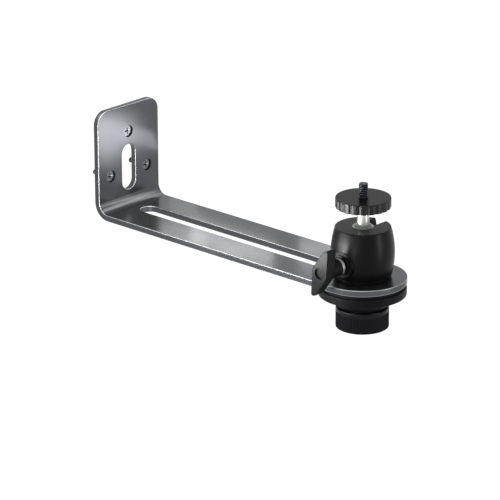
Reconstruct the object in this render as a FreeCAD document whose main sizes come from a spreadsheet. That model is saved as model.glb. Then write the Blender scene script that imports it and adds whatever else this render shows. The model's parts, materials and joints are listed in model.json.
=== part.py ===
import FreeCAD
import Part
import math
import os
import Sketcher

# Projector wall mount: a folded bracket with a slotted arm, and a ball head clamped on the arm.
# Units are millimetres. X runs across the bracket, Y into the wall, Z up. The origin is where the
# axis of the top wall screw meets the wall.
# Pieces of the head are drawn about the head's own axis, with height zero on the arm's top face.

doc = FreeCAD.newDocument("ProjectorWallMount")
sheet = doc.addObject("Spreadsheet::Sheet", "Sizes")

driving_sizes = [
    ("running_gap", 0.1, "radial play of a shaft in its hole"),
    ("slip_gap", 0.05, "play between flat faces that slide on each other"),
    # Bracket
    ("plate_width", 60, "width of the folded sheet"),
    ("sheet_thickness", 4.5, "thickness of the folded sheet"),
    ("plate_rise", 73, "arm's top face to the top of the wall plate"),
    ("arm_reach", 223, "wall to the head's axis, at the end of the arm"),
    ("bend_radius", 7.5, "inside radius of the fold"),
    ("corner_radius", 9.5, "top corners of the wall plate"),
    ("edge_break", 0.5, "bevel on the sheet's edges"),
    ("slot_radius", 6.65, "half the width of both slots"),
    ("wall_slot_low", 17.2, "lower centre of the wall slot above the arm"),
    ("wall_slot_gap", 5.35, "metal between the wall slot and the top screw's sink"),
    ("arm_slot_start", 24.5, "wall to the first centre of the arm's slot"),
    # Wall screws
    ("top_screw_rise", 53.5, "top wall screw above the arm"),
    ("low_screw_rise", 24.3, "lower wall screws above the arm"),
    ("low_screw_offset", 18, "lower wall screws from the middle"),
    ("screw_sink", 1.2, "screw head below the plate's face"),
    ("screw_head_radius", 4.1, "countersunk head"),
    ("screw_radius", 2.0, "thread of a wall screw"),
    ("screw_neck_radius", 1.7, "plain neck under the screw head"),
    ("screw_neck", 0.5, "length of that neck"),
    ("screw_length", 16, "overall length of a wall screw"),
    ("screw_land", 0.4, "straight rim of the screw head"),
    ("cross_length", 4.2, "across the cross recess"),
    ("cross_width", 1.0, "one arm of the cross recess"),
    ("cross_depth", 1.3, "depth of the cross recess"),
    # Bolt, bush and base
    ("bolt_radius", 3.175, "quarter inch clamp bolt and stud"),
    ("bush_wall", 3.2, "wall of the guide bush"),
    ("bush_rim_radius", 9, "rim of the guide bush on the arm"),
    ("base_pad_radius", 17.8, "rubber ring under the housing"),
    ("base_pad_thickness", 1.6, "rubber ring under the housing"),
    # Housing and ball
    ("housing_height", 33.4, "base to top face"),
    ("housing_radius", 21.45, "widest ring of the barrel"),
    ("housing_waist", 15.4, "height of the widest ring above the base"),
    ("housing_top_radius", 18.8, "rim of the top face"),
    ("housing_edge", 0.4, "bevel on the barrel's two rims"),
    ("mouth_radius", 7.4, "round mouth in the top face"),
    ("ball_radius", 11.4, "ball"),
    ("stem_radius", 4.2, "stem of the ball"),
    ("notch_gap", 0.6, "room beside the stem in the notch"),
    ("stem_rise", 13.1, "housing's top face to the stem's shoulder"),
    ("bore_gap", 0.2, "room beside the cup and the plug in the housing's bore"),
    ("insert_thickness", 6, "threaded base insert"),
    ("hub_radius", 5, "hub on the base insert"),
    ("seat_foot_radius", 4, "flat foot of the ball seat"),
    ("seat_depth", 2.2, "foot of the seat below the ball"),
    ("seat_rim_drop", 4.2, "ball's centre to the seat's rim"),
    ("seat_skirt", 2.0, "straight side of the seat"),
    # Lock lever
    ("lever_height", 13, "lever's axis above the arm"),
    ("plug_radius", 3.5, "pressure plug"),
    ("plug_length", 8.4, "pressure plug from tip to tail"),
    ("lever_travel", 1.8, "room behind the plug"),
    ("lock_radius", 3.0, "lock screw"),
    ("boss_radius", 9.2, "flat boss round the lock screw"),
    ("boss_face", 21.5, "head's axis to the boss's face"),
    ("lip_radius", 6.7, "raised ring on the boss"),
    ("lip_rise", 0.8, "height of that ring"),
    ("boss_sink_radius", 5.9, "round sink inside the ring"),
    ("boss_sink_depth", 1.2, "depth of that sink, from the ring's top"),
    ("collar_start", 24, "head's axis to the steel collar"),
    ("collar_length", 2.5, "steel collar"),
    ("collar_radius", 5.5, "steel collar"),
    ("lever_hub_radius", 6, "round hub of the wing"),
    ("wing_start", 35.5, "head's axis to the wing's inner face"),
    ("wing_thickness", 8.2, "thickness of the wing"),
    ("wing_tip_across", 7.6, "tip of the wing from its middle line"),
    ("wing_tip_up", 17.6, "tip of the wing above its centre"),
    ("wing_back_across", 3.4, "back corner of the tip"),
    ("wing_back_up", 16.2, "back corner of the tip"),
    ("wing_heel_across", 6.4, "heel of the wing"),
    ("wing_heel_up", 2.6, "heel of the wing"),
    ("wing_tip_round", 1.6, "rounding of the tips"),
    ("wing_heel_round", 3.0, "rounding of the heels"),
    ("wing_edge", 0.6, "rounding of the wing's outer edges"),
    ("wing_dish_radius", 3.9, "round dish in the wing's face"),
    ("wing_dish_depth", 1.3, "depth of that dish"),
    # Stud and lock disc
    ("stud_rise", 9.6, "stud above the disc"),
    ("stud_sink", 7, "stud inside the stem"),
    ("stud_bevel", 0.6, "bevel at the stud's end"),
    ("relief_width", 0.8, "thread relief just below the disc's top face"),
    ("relief_depth", 0.25, "depth of that relief"),
    ("washer_thickness", 0.5, "thin washers"),
    ("disc_washer_radius", 6.5, "washer under the disc"),
    ("disc_radius", 18.7, "lock disc"),
    ("disc_thickness", 6.8, "lock disc"),
    ("disc_edge", 0.7, "bevel on the disc's rims"),
    ("flute_count", 20, "finger flutes round the disc"),
    ("flute_radius", 1.3, "radius of one flute"),
    ("flute_depth", 0.7, "how far a flute cuts in"),
    ("flute_turn", 14.2, "degrees from the notch's side to the first flute"),
    ("nut_radius", 6.3, "hexagon insert, over its corners"),
    ("nut_thickness", 5, "hexagon insert"),
    # Clamp
    ("flange_pad_thickness", 2.3, "rubber ring under the arm"),
    ("flange_pad_radius", 28.6, "rubber ring under the arm"),
    ("flange_radius", 29.75, "clamp flange"),
    ("flange_rim", 5.8, "height of the flange's rim"),
    ("flange_edge", 0.6, "bevel on the flange's rim"),
    ("flange_step", 2.6, "rim to the top of the cone"),
    ("flange_cone", 8.1, "height of the flange's cone"),
    ("flange_foot_radius", 16.6, "bottom of the flange's cone"),
    ("cone_hollow", 26, "radius of the cone's hollow side"),
    ("thrust_radius", 13.5, "thrust washer"),
    ("knob_radius", 18, "clamp knob"),
    ("knob_height", 14.5, "clamp knob"),
    ("knob_top_edge", 1.2, "bevel on the knob's top rim"),
    ("knob_low_edge", 0.8, "bevel on the knob's lower rim"),
    ("bolt_head_radius", 6.4, "hexagon head in the knob, over its corners"),
    ("bolt_head_height", 4.2, "hexagon head in the knob"),
    ("knob_floor", 3, "knob under the bolt's head"),
    ("bolt_reach", 9.4, "bolt above the arm"),
]

derived_sizes = [
    ("half_width", "=plate_width / 2", "half the sheet's width"),
    ("arm_depth", "=sheet_thickness", "arm's lower face below its top"),
    ("bend_outside", "=bend_radius + sheet_thickness", "outside radius of the fold"),
    ("screw_cone", "=screw_head_radius - screw_neck_radius", "height of the head's cone"),
    ("screw_cone_end", "=screw_land + screw_cone", "head's face to the end of its cone"),
    ("screw_thread_start", "=screw_cone_end + screw_neck", "head's face to the thread"),
    ("screw_end_round", "=screw_radius * 0.6", "rounded end of the screw"),
    ("screw_end_start", "=screw_length - screw_end_round", "where the rounded end starts"),
    ("screw_end_radius", "=screw_radius - screw_end_round", "flat at the screw's very end"),
    ("cross_half", "=cross_width / 2", "half an arm of the cross"),
    ("cross_reach", "=cross_length / 2", "half the cross"),
    ("sink_radius", "=screw_head_radius + running_gap", "screw's sink in the plate"),
    ("screw_hole", "=screw_radius + running_gap", "screw's hole in the plate"),
    ("wall_slot_high", "=top_screw_rise - sink_radius - wall_slot_gap - slot_radius",
     "upper centre of the wall slot"),
    ("housing_top", "=base_pad_thickness + housing_height", "top face above the arm"),
    ("waist_level", "=base_pad_thickness + housing_waist", "widest ring above the arm"),
    ("waist_to_top", "=housing_top - waist_level", "widest ring to the top face"),
    ("barrel_fall", "=housing_radius - housing_top_radius", "how far the barrel draws in"),
    ("barrel_arc", "=(waist_to_top ^ 2 + barrel_fall ^ 2) / (2 * barrel_fall)", "side's radius"),
    ("barrel_centre", "=barrel_arc - housing_radius", "centre of that arc beyond the axis"),
    ("housing_base_radius", "=sqrt(barrel_arc ^ 2 - housing_waist ^ 2) - barrel_centre", "base rim"),
    ("socket_radius", "=ball_radius + running_gap", "spherical seat in the housing"),
    ("ball_level", "=housing_top - sqrt(socket_radius ^ 2 - mouth_radius ^ 2)", "ball's centre"),
    ("bore_radius", "=socket_radius + running_gap", "housing's bore from below"),
    ("notch_radius", "=stem_radius + notch_gap", "half the width of the notch"),
    ("stem_top", "=housing_top + stem_rise", "shoulder of the stem"),
    ("stem_foot", "=ball_level + sqrt(ball_radius ^ 2 - stem_radius ^ 2)", "stem meets the ball"),
    ("washer_low", "=stem_top + slip_gap", "underside of the disc's washer"),
    ("disc_low", "=washer_low + washer_thickness + slip_gap", "underside of the disc"),
    ("disc_top", "=disc_low + disc_thickness", "top of the disc"),
    ("stud_top", "=disc_top + stud_rise", "top of the stud"),
    ("stud_low", "=stem_top - stud_sink", "bottom of the stud"),
    ("stud_bore", "=bolt_radius + running_gap", "hole round the stud or the bolt"),
    ("flute_centre", "=disc_radius + flute_radius - flute_depth", "axis of a flute"),
    ("flute_across", "=flute_centre * cos(flute_turn * 1deg)", "first flute's place across"),
    ("flute_along", "=flute_centre * sin(flute_turn * 1deg)", "first flute's place along"),
    ("bush_rim", "=base_pad_thickness - bore_gap", "top of the bush's rim"),
    ("insert_top", "=base_pad_thickness + insert_thickness", "top of the base insert"),
    ("insert_radius", "=bore_radius - running_gap", "base insert"),
    ("seat_foot", "=ball_level - ball_radius - seat_depth", "foot of the ball seat"),
    ("seat_rim", "=ball_level - seat_rim_drop", "rim of the ball seat"),
    ("seat_side", "=seat_rim - seat_skirt", "lower end of the seat's straight side"),
    ("seat_radius", "=bore_radius - bore_gap", "outside of the ball seat"),
    ("seat_lip", "=sqrt(socket_radius ^ 2 - seat_rim_drop ^ 2)", "inside of the seat's rim"),
    ("hub_top", "=seat_foot - bore_gap", "top of the insert's hub"),
    ("plug_hole", "=plug_radius + running_gap", "hole round the plug"),
    ("seat_slope", "=(seat_radius - seat_foot_radius) / (seat_side - seat_foot)", "seat's cone"),
    ("seat_reach", "=seat_foot_radius + (lever_height - seat_foot) * seat_slope",
     "seat's cone at the lever's height"),
    ("plug_nose", "=seat_reach + 1.5 * bore_gap", "head's axis to the tip of the plug"),
    ("plug_shoulder", "=plug_nose + plug_radius * seat_slope", "where the plug's cone ends"),
    ("plug_tail", "=plug_nose + plug_length", "outer end of the plug"),
    ("plug_room", "=plug_tail + lever_travel", "end of the plug's hole"),
    ("lock_hole", "=lock_radius + running_gap", "hole round the lock screw"),
    ("lock_start", "=plug_tail + running_gap", "inner end of the lock screw"),
    ("lock_end", "=wing_start + wing_thickness / 2", "outer end of the lock screw"),
    ("collar_end", "=collar_start + collar_length", "collar meets the wing's hub"),
    ("lip_face", "=boss_face + lip_rise", "top of the boss's ring"),
    ("boss_floor", "=lip_face - boss_sink_depth", "bottom of the boss's sink"),
    ("wing_face", "=wing_start + wing_thickness", "outer face of the wing"),
    ("pad_high", "=sheet_thickness + slip_gap", "top of the flange pad, below the arm's top"),
    ("pad_low", "=pad_high + flange_pad_thickness", "underside of the flange pad"),
    ("rim_low", "=pad_low + flange_rim", "underside of the flange's rim"),
    ("cone_radius", "=flange_radius - flange_step", "top of the flange's cone"),
    ("flange_low", "=rim_low + flange_cone", "underside of the flange"),
    ("thrust_low", "=flange_low + washer_thickness", "underside of the thrust washer"),
    ("knob_top", "=thrust_low + slip_gap", "top of the knob"),
    ("knob_low", "=knob_top + knob_height", "underside of the knob"),
    ("bolt_head_low", "=knob_low - knob_floor", "underside of the bolt's head"),
    ("bolt_head_top", "=bolt_head_low - bolt_head_height", "top of the bolt's head"),
    ("bush_radius", "=stud_bore + bush_wall", "outside of the guide bush"),
    ("above_top", "=housing_top + notch_radius", "clear of the housing's top face"),
    ("disc_rim", "=disc_radius - disc_edge", "inside of the disc's bevels"),
    ("disc_low_rim", "=disc_low + disc_edge", "top of the lower bevel"),
    ("disc_top_rim", "=disc_top - disc_edge", "bottom of the upper bevel"),
    ("stud_end_radius", "=bolt_radius - stud_bevel", "flat at the stud's end"),
    ("stud_end_start", "=stud_top - stud_bevel", "start of the stud's bevel"),
    ("relief_radius", "=bolt_radius - relief_depth", "core of the thread relief"),
    ("relief_high", "=disc_top - running_gap", "top of the thread relief"),
    ("relief_low", "=relief_high - relief_width", "bottom of the thread relief"),
    ("socket_low", "=ball_level - socket_radius", "lowest point of the seat's hollow"),
    ("ball_low", "=ball_level - ball_radius", "lowest point of the ball"),
    ("bush_low", "=sheet_thickness - slip_gap", "lower end of the guide bush"),
]

for row, (alias, content, meaning) in enumerate(driving_sizes + derived_sizes, start=1):
    sheet.set(f"A{row}", meaning)
    sheet.set(f"B{row}", str(content))
    sheet.setAlias(f"B{row}", alias)
doc.recompute()


def size(term):
    """Number that a term such as "bolt_radius" or "-bolt_radius" stands for."""
    if term == "0":
        return 0.0
    value = float(sheet.get(term.lstrip("-")))
    return -value if term.startswith("-") else value


def formula(term):
    """Expression that binds a property to a term such as "-bolt_radius"."""
    return "-Sizes." + term[1:] if term.startswith("-") else "Sizes." + term


def bind(item, **terms):
    """Tie properties of an object to formulas of the sheet."""
    for name, expression in terms.items():
        item.setExpression(name, expression)


# Sketches


def new_body(label):
    """PartDesign body that becomes one piece."""
    body = doc.addObject("PartDesign::Body", label)
    body.Label = label
    return body


def new_sketch(body, name, plane, level=None):
    """Sketch on one of the body's own planes, raised by a formula along the plane's normal."""
    sketch = body.newObject("Sketcher::SketchObject", name)
    for feature in body.Origin.OriginFeatures:
        if feature.Role == plane:
            sketch.AttachmentSupport = [(feature, "")]
    sketch.MapMode = "FlatFace"
    if level:
        sketch.setExpression(".AttachmentOffset.Base.z", level)
    return sketch


def pin_point(sketch, edge, end, across, up):
    """Hold one end of an edge at a place given by two terms."""
    for term, kind, axis in ((across, "DistanceX", -2), (up, "DistanceY", -1)):
        if term == "0":
            sketch.addConstraint(Sketcher.Constraint("PointOnObject", edge, end, axis))
        else:
            number = sketch.addConstraint(
                Sketcher.Constraint(kind, -1, 1, edge, end, size(term)))
            sketch.setExpression(f"Constraints[{number}]", formula(term))


def arc_between(start, end, radius):
    """Arc from start to end; a positive radius keeps its centre to the left of the way."""
    middle = (start + end) * 0.5
    way = end - start
    left = FreeCAD.Vector(-way.y, way.x, 0).normalize()
    height = math.sqrt(max(radius ** 2 - (way.Length / 2) ** 2, 0.0))
    centre = middle + left * math.copysign(height, radius)
    from_point, to_point = (start, end) if radius > 0 else (end, start)
    first = math.atan2(from_point.y - centre.y, from_point.x - centre.x)
    last = math.atan2(to_point.y - centre.y, to_point.x - centre.x)
    circle = Part.Circle(centre, FreeCAD.Vector(0, 0, 1), abs(radius))
    return Part.ArcOfCircle(circle, first, last)


def draw_outline(sketch, corners):
    """Closed outline through corners (across, up) or (across, up, radius of the arc that follows)."""
    places = [FreeCAD.Vector(size(corner[0]), size(corner[1]), 0) for corner in corners]
    ends = []
    for index, corner in enumerate(corners):
        start = places[index]
        end = places[(index + 1) % len(places)]
        if len(corner) == 3:
            edge = sketch.addGeometry(arc_between(start, end, size(corner[2])), False)
            ends.append((edge, 1, 2) if size(corner[2]) > 0 else (edge, 2, 1))
        else:
            edge = sketch.addGeometry(Part.LineSegment(start, end), False)
            ends.append((edge, 1, 2))
    for index, corner in enumerate(corners):
        edge, first, last = ends[index]
        following, following_first, _ = ends[(index + 1) % len(ends)]
        sketch.addConstraint(
            Sketcher.Constraint("Coincident", edge, last, following, following_first))
        pin_point(sketch, edge, first, corner[0], corner[1])
        if len(corner) == 3:
            number = sketch.addConstraint(
                Sketcher.Constraint("Radius", edge, abs(size(corner[2]))))
            sketch.setExpression(f"Constraints[{number}]", "Sizes." + corner[2].lstrip("-"))


def draw_circle(sketch, across, up, radius):
    """Circle with its centre and radius given by terms."""
    centre = FreeCAD.Vector(size(across), size(up), 0)
    edge = sketch.addGeometry(
        Part.Circle(centre, FreeCAD.Vector(0, 0, 1), size(radius)), False)
    pin_point(sketch, edge, 3, across, up)
    number = sketch.addConstraint(Sketcher.Constraint("Radius", edge, size(radius)))
    sketch.setExpression(f"Constraints[{number}]", formula(radius))


def draw_slot(sketch, low, high, radius):
    """Upright slot on the sketch's vertical axis, between two centres, with round ends."""
    bottom, top, reach = size(low), size(high), size(radius)
    up = FreeCAD.Vector(0, 0, 1)
    low_circle = Part.Circle(FreeCAD.Vector(0, bottom, 0), up, reach)
    high_circle = Part.Circle(FreeCAD.Vector(0, top, 0), up, reach)
    low_arc = sketch.addGeometry(Part.ArcOfCircle(low_circle, math.pi, 2 * math.pi), False)
    high_arc = sketch.addGeometry(Part.ArcOfCircle(high_circle, 0, math.pi), False)
    right = sketch.addGeometry(Part.LineSegment(
        FreeCAD.Vector(reach, bottom, 0), FreeCAD.Vector(reach, top, 0)), False)
    left = sketch.addGeometry(Part.LineSegment(
        FreeCAD.Vector(-reach, top, 0), FreeCAD.Vector(-reach, bottom, 0)), False)
    for first, first_end, second, second_end in (
            (low_arc, 2, right, 1), (right, 2, high_arc, 1),
            (high_arc, 2, left, 1), (left, 2, low_arc, 1)):
        sketch.addConstraint(
            Sketcher.Constraint("Tangent", first, first_end, second, second_end))
    pin_point(sketch, low_arc, 3, "0", low)
    pin_point(sketch, high_arc, 3, "0", high)
    number = sketch.addConstraint(Sketcher.Constraint("Radius", low_arc, reach))
    sketch.setExpression(f"Constraints[{number}]", formula(radius))


# Features


def extrude(body, kind, name, sketch, length=None, reverse=False, symmetric=False):
    """Pad or Pocket of a sketch; with no length a Pocket goes all the way through."""
    feature = body.newObject("PartDesign::" + kind, name)
    feature.Profile = sketch
    feature.Reversed = reverse
    if symmetric:
        feature.SideType = "Symmetric"
    if length:
        bind(feature, Length=length)
    else:
        feature.Type = "ThroughAll"
    doc.recompute()
    return feature


def spin(body, kind, name, sketch):
    """Revolution or Groove of a sketch about its upright axis."""
    feature = body.newObject("PartDesign::" + kind, name)
    feature.Profile = sketch
    feature.ReferenceAxis = (sketch, ["V_Axis"])
    feature.Angle = 360
    doc.recompute()
    return feature


def soften(body, kind, name, amount, wanted):
    """Fillet or Chamfer on the edges of the body's last feature that a test picks out."""
    base = body.Tip
    names = [f"Edge{number}" for number, edge in enumerate(base.Shape.Edges, start=1)
             if wanted(edge)]
    feature = body.newObject("PartDesign::" + kind, name)
    feature.Base = (base, names)
    bind(feature, **{"Radius" if kind == "Fillet" else "Size": amount})
    doc.recompute()
    return feature


def is_sharp(shape, edge):
    """Whether the two faces at an edge meet at a corner and don't run on smoothly."""
    middle = edge.valueAt((edge.FirstParameter + edge.LastParameter) / 2)
    normals = [face.normalAt(*face.Surface.parameter(middle))
               for face in shape.ancestorsOfType(edge, Part.Face)]
    return len(normals) == 2 and abs(normals[0].dot(normals[1])) < 0.5


def close(first, second):
    """Whether two lengths are the same to a thousandth."""
    return abs(first - second) < 0.001


def runs_along(edge, axis):
    """Whether an edge is a straight line along X, Y or Z."""
    if not isinstance(edge.Curve, Part.Line):
        return False
    return close(abs(edge.Curve.Direction.dot(axis)), 1)


def ring_at(level, radius):
    """Test that picks full circles about the upright axis at a level, with a radius."""
    def test(edge):
        circle = edge.Curve
        return (isinstance(circle, Part.Circle) and close(circle.Radius, radius)
                and close(circle.Center.z, level) and close(circle.Center.x, 0))
    return test


def tube(name, outer, inner, low, high):
    """Round ring between two levels, all given by formulas."""
    outside = doc.addObject("Part::Cylinder", name + "_outside")
    bind(outside, Radius=outer, Height=f"({high}) - ({low})")
    outside.setExpression(".Placement.Base.z", low)
    inside = doc.addObject("Part::Cylinder", name + "_inside")
    bind(inside, Radius=inner, Height=f"({high}) - ({low})")
    inside.setExpression(".Placement.Base.z", low)
    return cut(name, outside, inside)


def hexagon(name, corners, low, high):
    """Upright hexagonal prism between two levels, with its size over the corners halved."""
    prism = doc.addObject("Part::Prism", name)
    prism.Polygon = 6
    bind(prism, Circumradius=corners, Height=f"({high}) - ({low})")
    prism.setExpression(".Placement.Base.z", low)
    return prism


def cut(name, base, tool):
    """First solid less the second."""
    result = doc.addObject("Part::Cut", name)
    result.Base = base
    result.Tool = tool
    return result


def fuse(name, *pieces):
    """One solid from several."""
    result = doc.addObject("Part::MultiFuse", name)
    result.Shapes = list(pieces)
    result.Refine = True
    return result


pieces = []


def place_on_bracket(item, label):
    """Finish a piece that is drawn in the bracket's frame."""
    item.Label = label
    item.setExpression(".Placement.Base.z", "-Sizes.top_screw_rise")
    pieces.append(item)


def place_on_head(item, label):
    """Finish a piece that is drawn about the head's upright axis."""
    item.Label = label
    item.setExpression(".Placement.Base.y", "-Sizes.arm_reach")
    item.setExpression(".Placement.Base.z", "-Sizes.top_screw_rise")
    pieces.append(item)


def place_on_lever(item, label):
    """Finish a piece that is drawn along the lever's axis, which points out of the head's side."""
    item.Label = label
    along_wall = FreeCAD.Vector(0, -1, 0)
    upward = FreeCAD.Vector(0, 0, 1)
    outward = FreeCAD.Vector(-1, 0, 0)
    item.Placement = FreeCAD.Placement(
        FreeCAD.Vector(), FreeCAD.Rotation(along_wall, upward, outward, "ZXY"))
    item.setExpression(".Placement.Base.y", "-Sizes.arm_reach")
    item.setExpression(".Placement.Base.z", "Sizes.lever_height - Sizes.top_screw_rise")
    pieces.append(item)


X_AXIS = FreeCAD.Vector(1, 0, 0)
Y_AXIS = FreeCAD.Vector(0, 1, 0)
Z_AXIS = FreeCAD.Vector(0, 0, 1)


# Bracket: the arm and the wall plate are one sheet with one fold


def screw_sink(name, across, up):
    """Cutter for one sunk screw hole: a round sink, a cone and a hole through the plate."""
    parts = []
    for part_name, kind, start, height in (
            ("rim", "Part::Cylinder", "0", "Sizes.screw_sink + Sizes.screw_land"),
            ("cone", "Part::Cone", "Sizes.screw_sink + Sizes.screw_land",
             "Sizes.sink_radius - Sizes.screw_hole"),
            ("hole", "Part::Cylinder", "Sizes.screw_sink", "Sizes.sheet_thickness")):
        part = doc.addObject(kind, name + "_" + part_name)
        part.Placement = FreeCAD.Placement(FreeCAD.Vector(), INTO_WALL)
        bind(part, Height=height)
        part.setExpression(".Placement.Base.y", f"({start}) - Sizes.sheet_thickness")
        part.setExpression(".Placement.Base.x", across)
        part.setExpression(".Placement.Base.z", up)
        parts.append(part)
    rim, cone, hole = parts
    bind(rim, Radius="Sizes.sink_radius")
    bind(cone, Radius1="Sizes.sink_radius", Radius2="Sizes.screw_hole")
    bind(hole, Radius="Sizes.screw_hole")
    return fuse(name + "_sink", rim, cone, hole)


def build_bracket():
    """Folded sheet with a half-round end, two slots, bevelled edges and three sunk screw holes."""
    body = new_body("folded_sheet")
    plan = new_sketch(body, "arm_plan", "XY_Plane")
    draw_outline(plan, [("-half_width", "0"), ("-half_width", "-arm_reach"),
                        ("half_width", "-arm_reach"), ("half_width", "0")])
    extrude(body, "Pad", "arm", plan, "Sizes.sheet_thickness", reverse=True)
    end = new_sketch(body, "arm_end_plan", "XY_Plane")
    draw_circle(end, "0", "-arm_reach", "half_width")
    extrude(body, "Pad", "arm_end", end, "Sizes.sheet_thickness", reverse=True)
    front = new_sketch(body, "plate_front", "XZ_Plane")
    draw_outline(front, [("-half_width", "-arm_depth"), ("half_width", "-arm_depth"),
                         ("half_width", "plate_rise"), ("-half_width", "plate_rise")])
    extrude(body, "Pad", "wall_plate", front, "Sizes.sheet_thickness")

    def fold(depth, level):
        return lambda edge: (runs_along(edge, X_AXIS)
                             and close(edge.CenterOfMass.y, depth)
                             and close(edge.CenterOfMass.z, level))

    thickness = size("sheet_thickness")
    soften(body, "Fillet", "fold_inside", "Sizes.bend_radius", fold(-thickness, 0))
    soften(body, "Fillet", "fold_outside", "Sizes.bend_outside", fold(0, -thickness))
    soften(body, "Fillet", "top_corners", "Sizes.corner_radius",
           lambda edge: runs_along(edge, Y_AXIS) and close(edge.CenterOfMass.z, size("plate_rise")))
    wall_slot = new_sketch(body, "wall_slot_outline", "XZ_Plane")
    draw_slot(wall_slot, "wall_slot_low", "wall_slot_high", "slot_radius")
    extrude(body, "Pocket", "wall_slot", wall_slot, "Sizes.sheet_thickness", reverse=True)
    arm_slot = new_sketch(body, "arm_slot_outline", "XY_Plane")
    draw_slot(arm_slot, "-arm_reach", "-arm_slot_start", "slot_radius")
    extrude(body, "Pocket", "arm_slot", arm_slot, "Sizes.sheet_thickness")
    soften(body, "Chamfer", "edge_bevels", "Sizes.edge_break",
           lambda edge: is_sharp(body.Tip.Shape, edge))
    sinks = [screw_sink(name, across, up) for name, across, up in SCREW_PLACES]
    return cut("bracket", body, fuse("screw_sinks", *sinks))


def build_wall_screw(label, across, up):
    """Countersunk cross-recess screw, drawn from its head's face, lying along the wall's depth."""
    body = new_body(label)
    profile = new_sketch(body, label + "_profile", "XZ_Plane")
    draw_outline(profile, [("0", "0"), ("screw_head_radius", "0"),
                           ("screw_head_radius", "screw_land"),
                           ("screw_neck_radius", "screw_cone_end"),
                           ("screw_neck_radius", "screw_thread_start"),
                           ("screw_radius", "screw_thread_start"),
                           ("screw_radius", "screw_end_start"),
                           ("screw_end_radius", "screw_length"), ("0", "screw_length")])
    spin(body, "Revolution", label + "_blank", profile)
    for name, wide, high in (("cross_flat", "cross_reach", "cross_half"),
                             ("cross_upright", "cross_half", "cross_reach")):
        bar = new_sketch(body, f"{label}_{name}_outline", "XY_Plane")
        draw_outline(bar, [("-" + wide, "-" + high), (wide, "-" + high),
                           (wide, high), ("-" + wide, high)])
        extrude(body, "Pocket", f"{label}_{name}", bar, "Sizes.cross_depth", reverse=True)
    body.Placement = FreeCAD.Placement(FreeCAD.Vector(), INTO_WALL)
    body.setExpression(".Placement.Base.x", across)
    body.setExpression(".Placement.Base.y", "Sizes.screw_sink - Sizes.sheet_thickness")
    body.setExpression(".Placement.Base.z", f"{up} - Sizes.top_screw_rise")
    pieces.append(body)


INTO_WALL = FreeCAD.Rotation(X_AXIS, -90)
SCREW_PLACES = [
    ("wall_screw_top", "0", "Sizes.top_screw_rise"),
    ("wall_screw_left", "-Sizes.low_screw_offset", "Sizes.low_screw_rise"),
    ("wall_screw_right", "Sizes.low_screw_offset", "Sizes.low_screw_rise"),
]

place_on_bracket(build_bracket(), "bracket")
for screw_label, screw_across, screw_up in SCREW_PLACES:
    build_wall_screw(screw_label, screw_across, screw_up)


# Base of the head: bush in the slot, rubber ring and threaded insert


def turned(label, corners):
    """Piece turned about the head's axis from one closed outline."""
    body = new_body(label)
    profile = new_sketch(body, label + "_profile", "XZ_Plane")
    draw_outline(profile, corners)
    spin(body, "Revolution", label + "_turned", profile)
    return body


place_on_head(turned("guide_bush", [
    ("stud_bore", "-bush_low"), ("bush_radius", "-bush_low"), ("bush_radius", "slip_gap"),
    ("bush_rim_radius", "slip_gap"), ("bush_rim_radius", "bush_rim"),
    ("stud_bore", "bush_rim")]), "guide_bush")
place_on_head(tube("base_pad", "Sizes.base_pad_radius", "Sizes.bush_rim_radius + Sizes.running_gap",
                   "Sizes.slip_gap", "Sizes.base_pad_thickness"), "base_pad")
place_on_head(turned("base_insert", [
    ("stud_bore", "base_pad_thickness"), ("insert_radius", "base_pad_thickness"),
    ("insert_radius", "insert_top"), ("hub_radius", "insert_top"),
    ("hub_radius", "hub_top"), ("stud_bore", "hub_top")]), "base_insert")


# Housing: barrel with a spherical socket, a mouth, a notch for the stem and a boss for the lever


def build_housing():
    """Barrel, bored from below, whose socket keeps the ball and whose notch lets the stem lie flat."""
    body = turned("housing", [
        ("0", "base_pad_thickness"),
        ("housing_base_radius", "base_pad_thickness", "barrel_arc"),
        ("housing_top_radius", "housing_top"), ("0", "housing_top")])
    for name, radius, face in (("boss", "boss_radius", "boss_face"),
                               ("boss_lip", "lip_radius", "lip_face")):
        outline = new_sketch(body, name + "_outline", "YZ_Plane", "-Sizes." + face)
        draw_circle(outline, "0", "lever_height", radius)
        extrude(body, "Pad", name, outline, f"Sizes.{face} - Sizes.bore_radius")
    soften(body, "Chamfer", "rims", "Sizes.housing_edge",
           lambda edge: (ring_at(size("base_pad_thickness"), size("housing_base_radius"))(edge)
                         or ring_at(size("housing_top"), size("housing_top_radius"))(edge)))
    bore = new_sketch(body, "bore_profile", "XZ_Plane")
    draw_outline(bore, [("0", "0"), ("bore_radius", "0"), ("bore_radius", "ball_level"),
                        ("socket_radius", "ball_level", "socket_radius"),
                        ("mouth_radius", "housing_top"), ("mouth_radius", "above_top"),
                        ("0", "above_top")])
    spin(body, "Groove", "bore_and_socket", bore)
    notch = new_sketch(body, "notch_outline", "YZ_Plane")
    draw_slot(notch, "ball_level", "above_top", "notch_radius")
    extrude(body, "Pocket", "notch", notch, "2 * Sizes.housing_radius", reverse=True)
    for name, radius, start, stop in (
            ("boss_sink", "boss_sink_radius", "lip_face", "boss_floor"),
            ("lock_screw_hole", "lock_hole", "boss_floor", "plug_room"),
            ("plug_hole", "plug_hole", "plug_room", "socket_radius / 2")):
        outline = new_sketch(body, name + "_outline", "YZ_Plane", "-Sizes." + start)
        draw_circle(outline, "0", "lever_height", radius)
        extrude(body, "Pocket", name, outline, f"Sizes.{start} - Sizes.{stop}", reverse=True)
    return body


place_on_head(build_housing(), "housing")
place_on_head(turned("ball_seat", [
    ("0", "seat_foot"), ("seat_foot_radius", "seat_foot"), ("seat_radius", "seat_side"),
    ("seat_radius", "seat_rim"), ("seat_lip", "seat_rim", "-socket_radius"),
    ("0", "socket_low")]), "ball_seat")


# Ball with its stem, the stud and the lock disc


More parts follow.
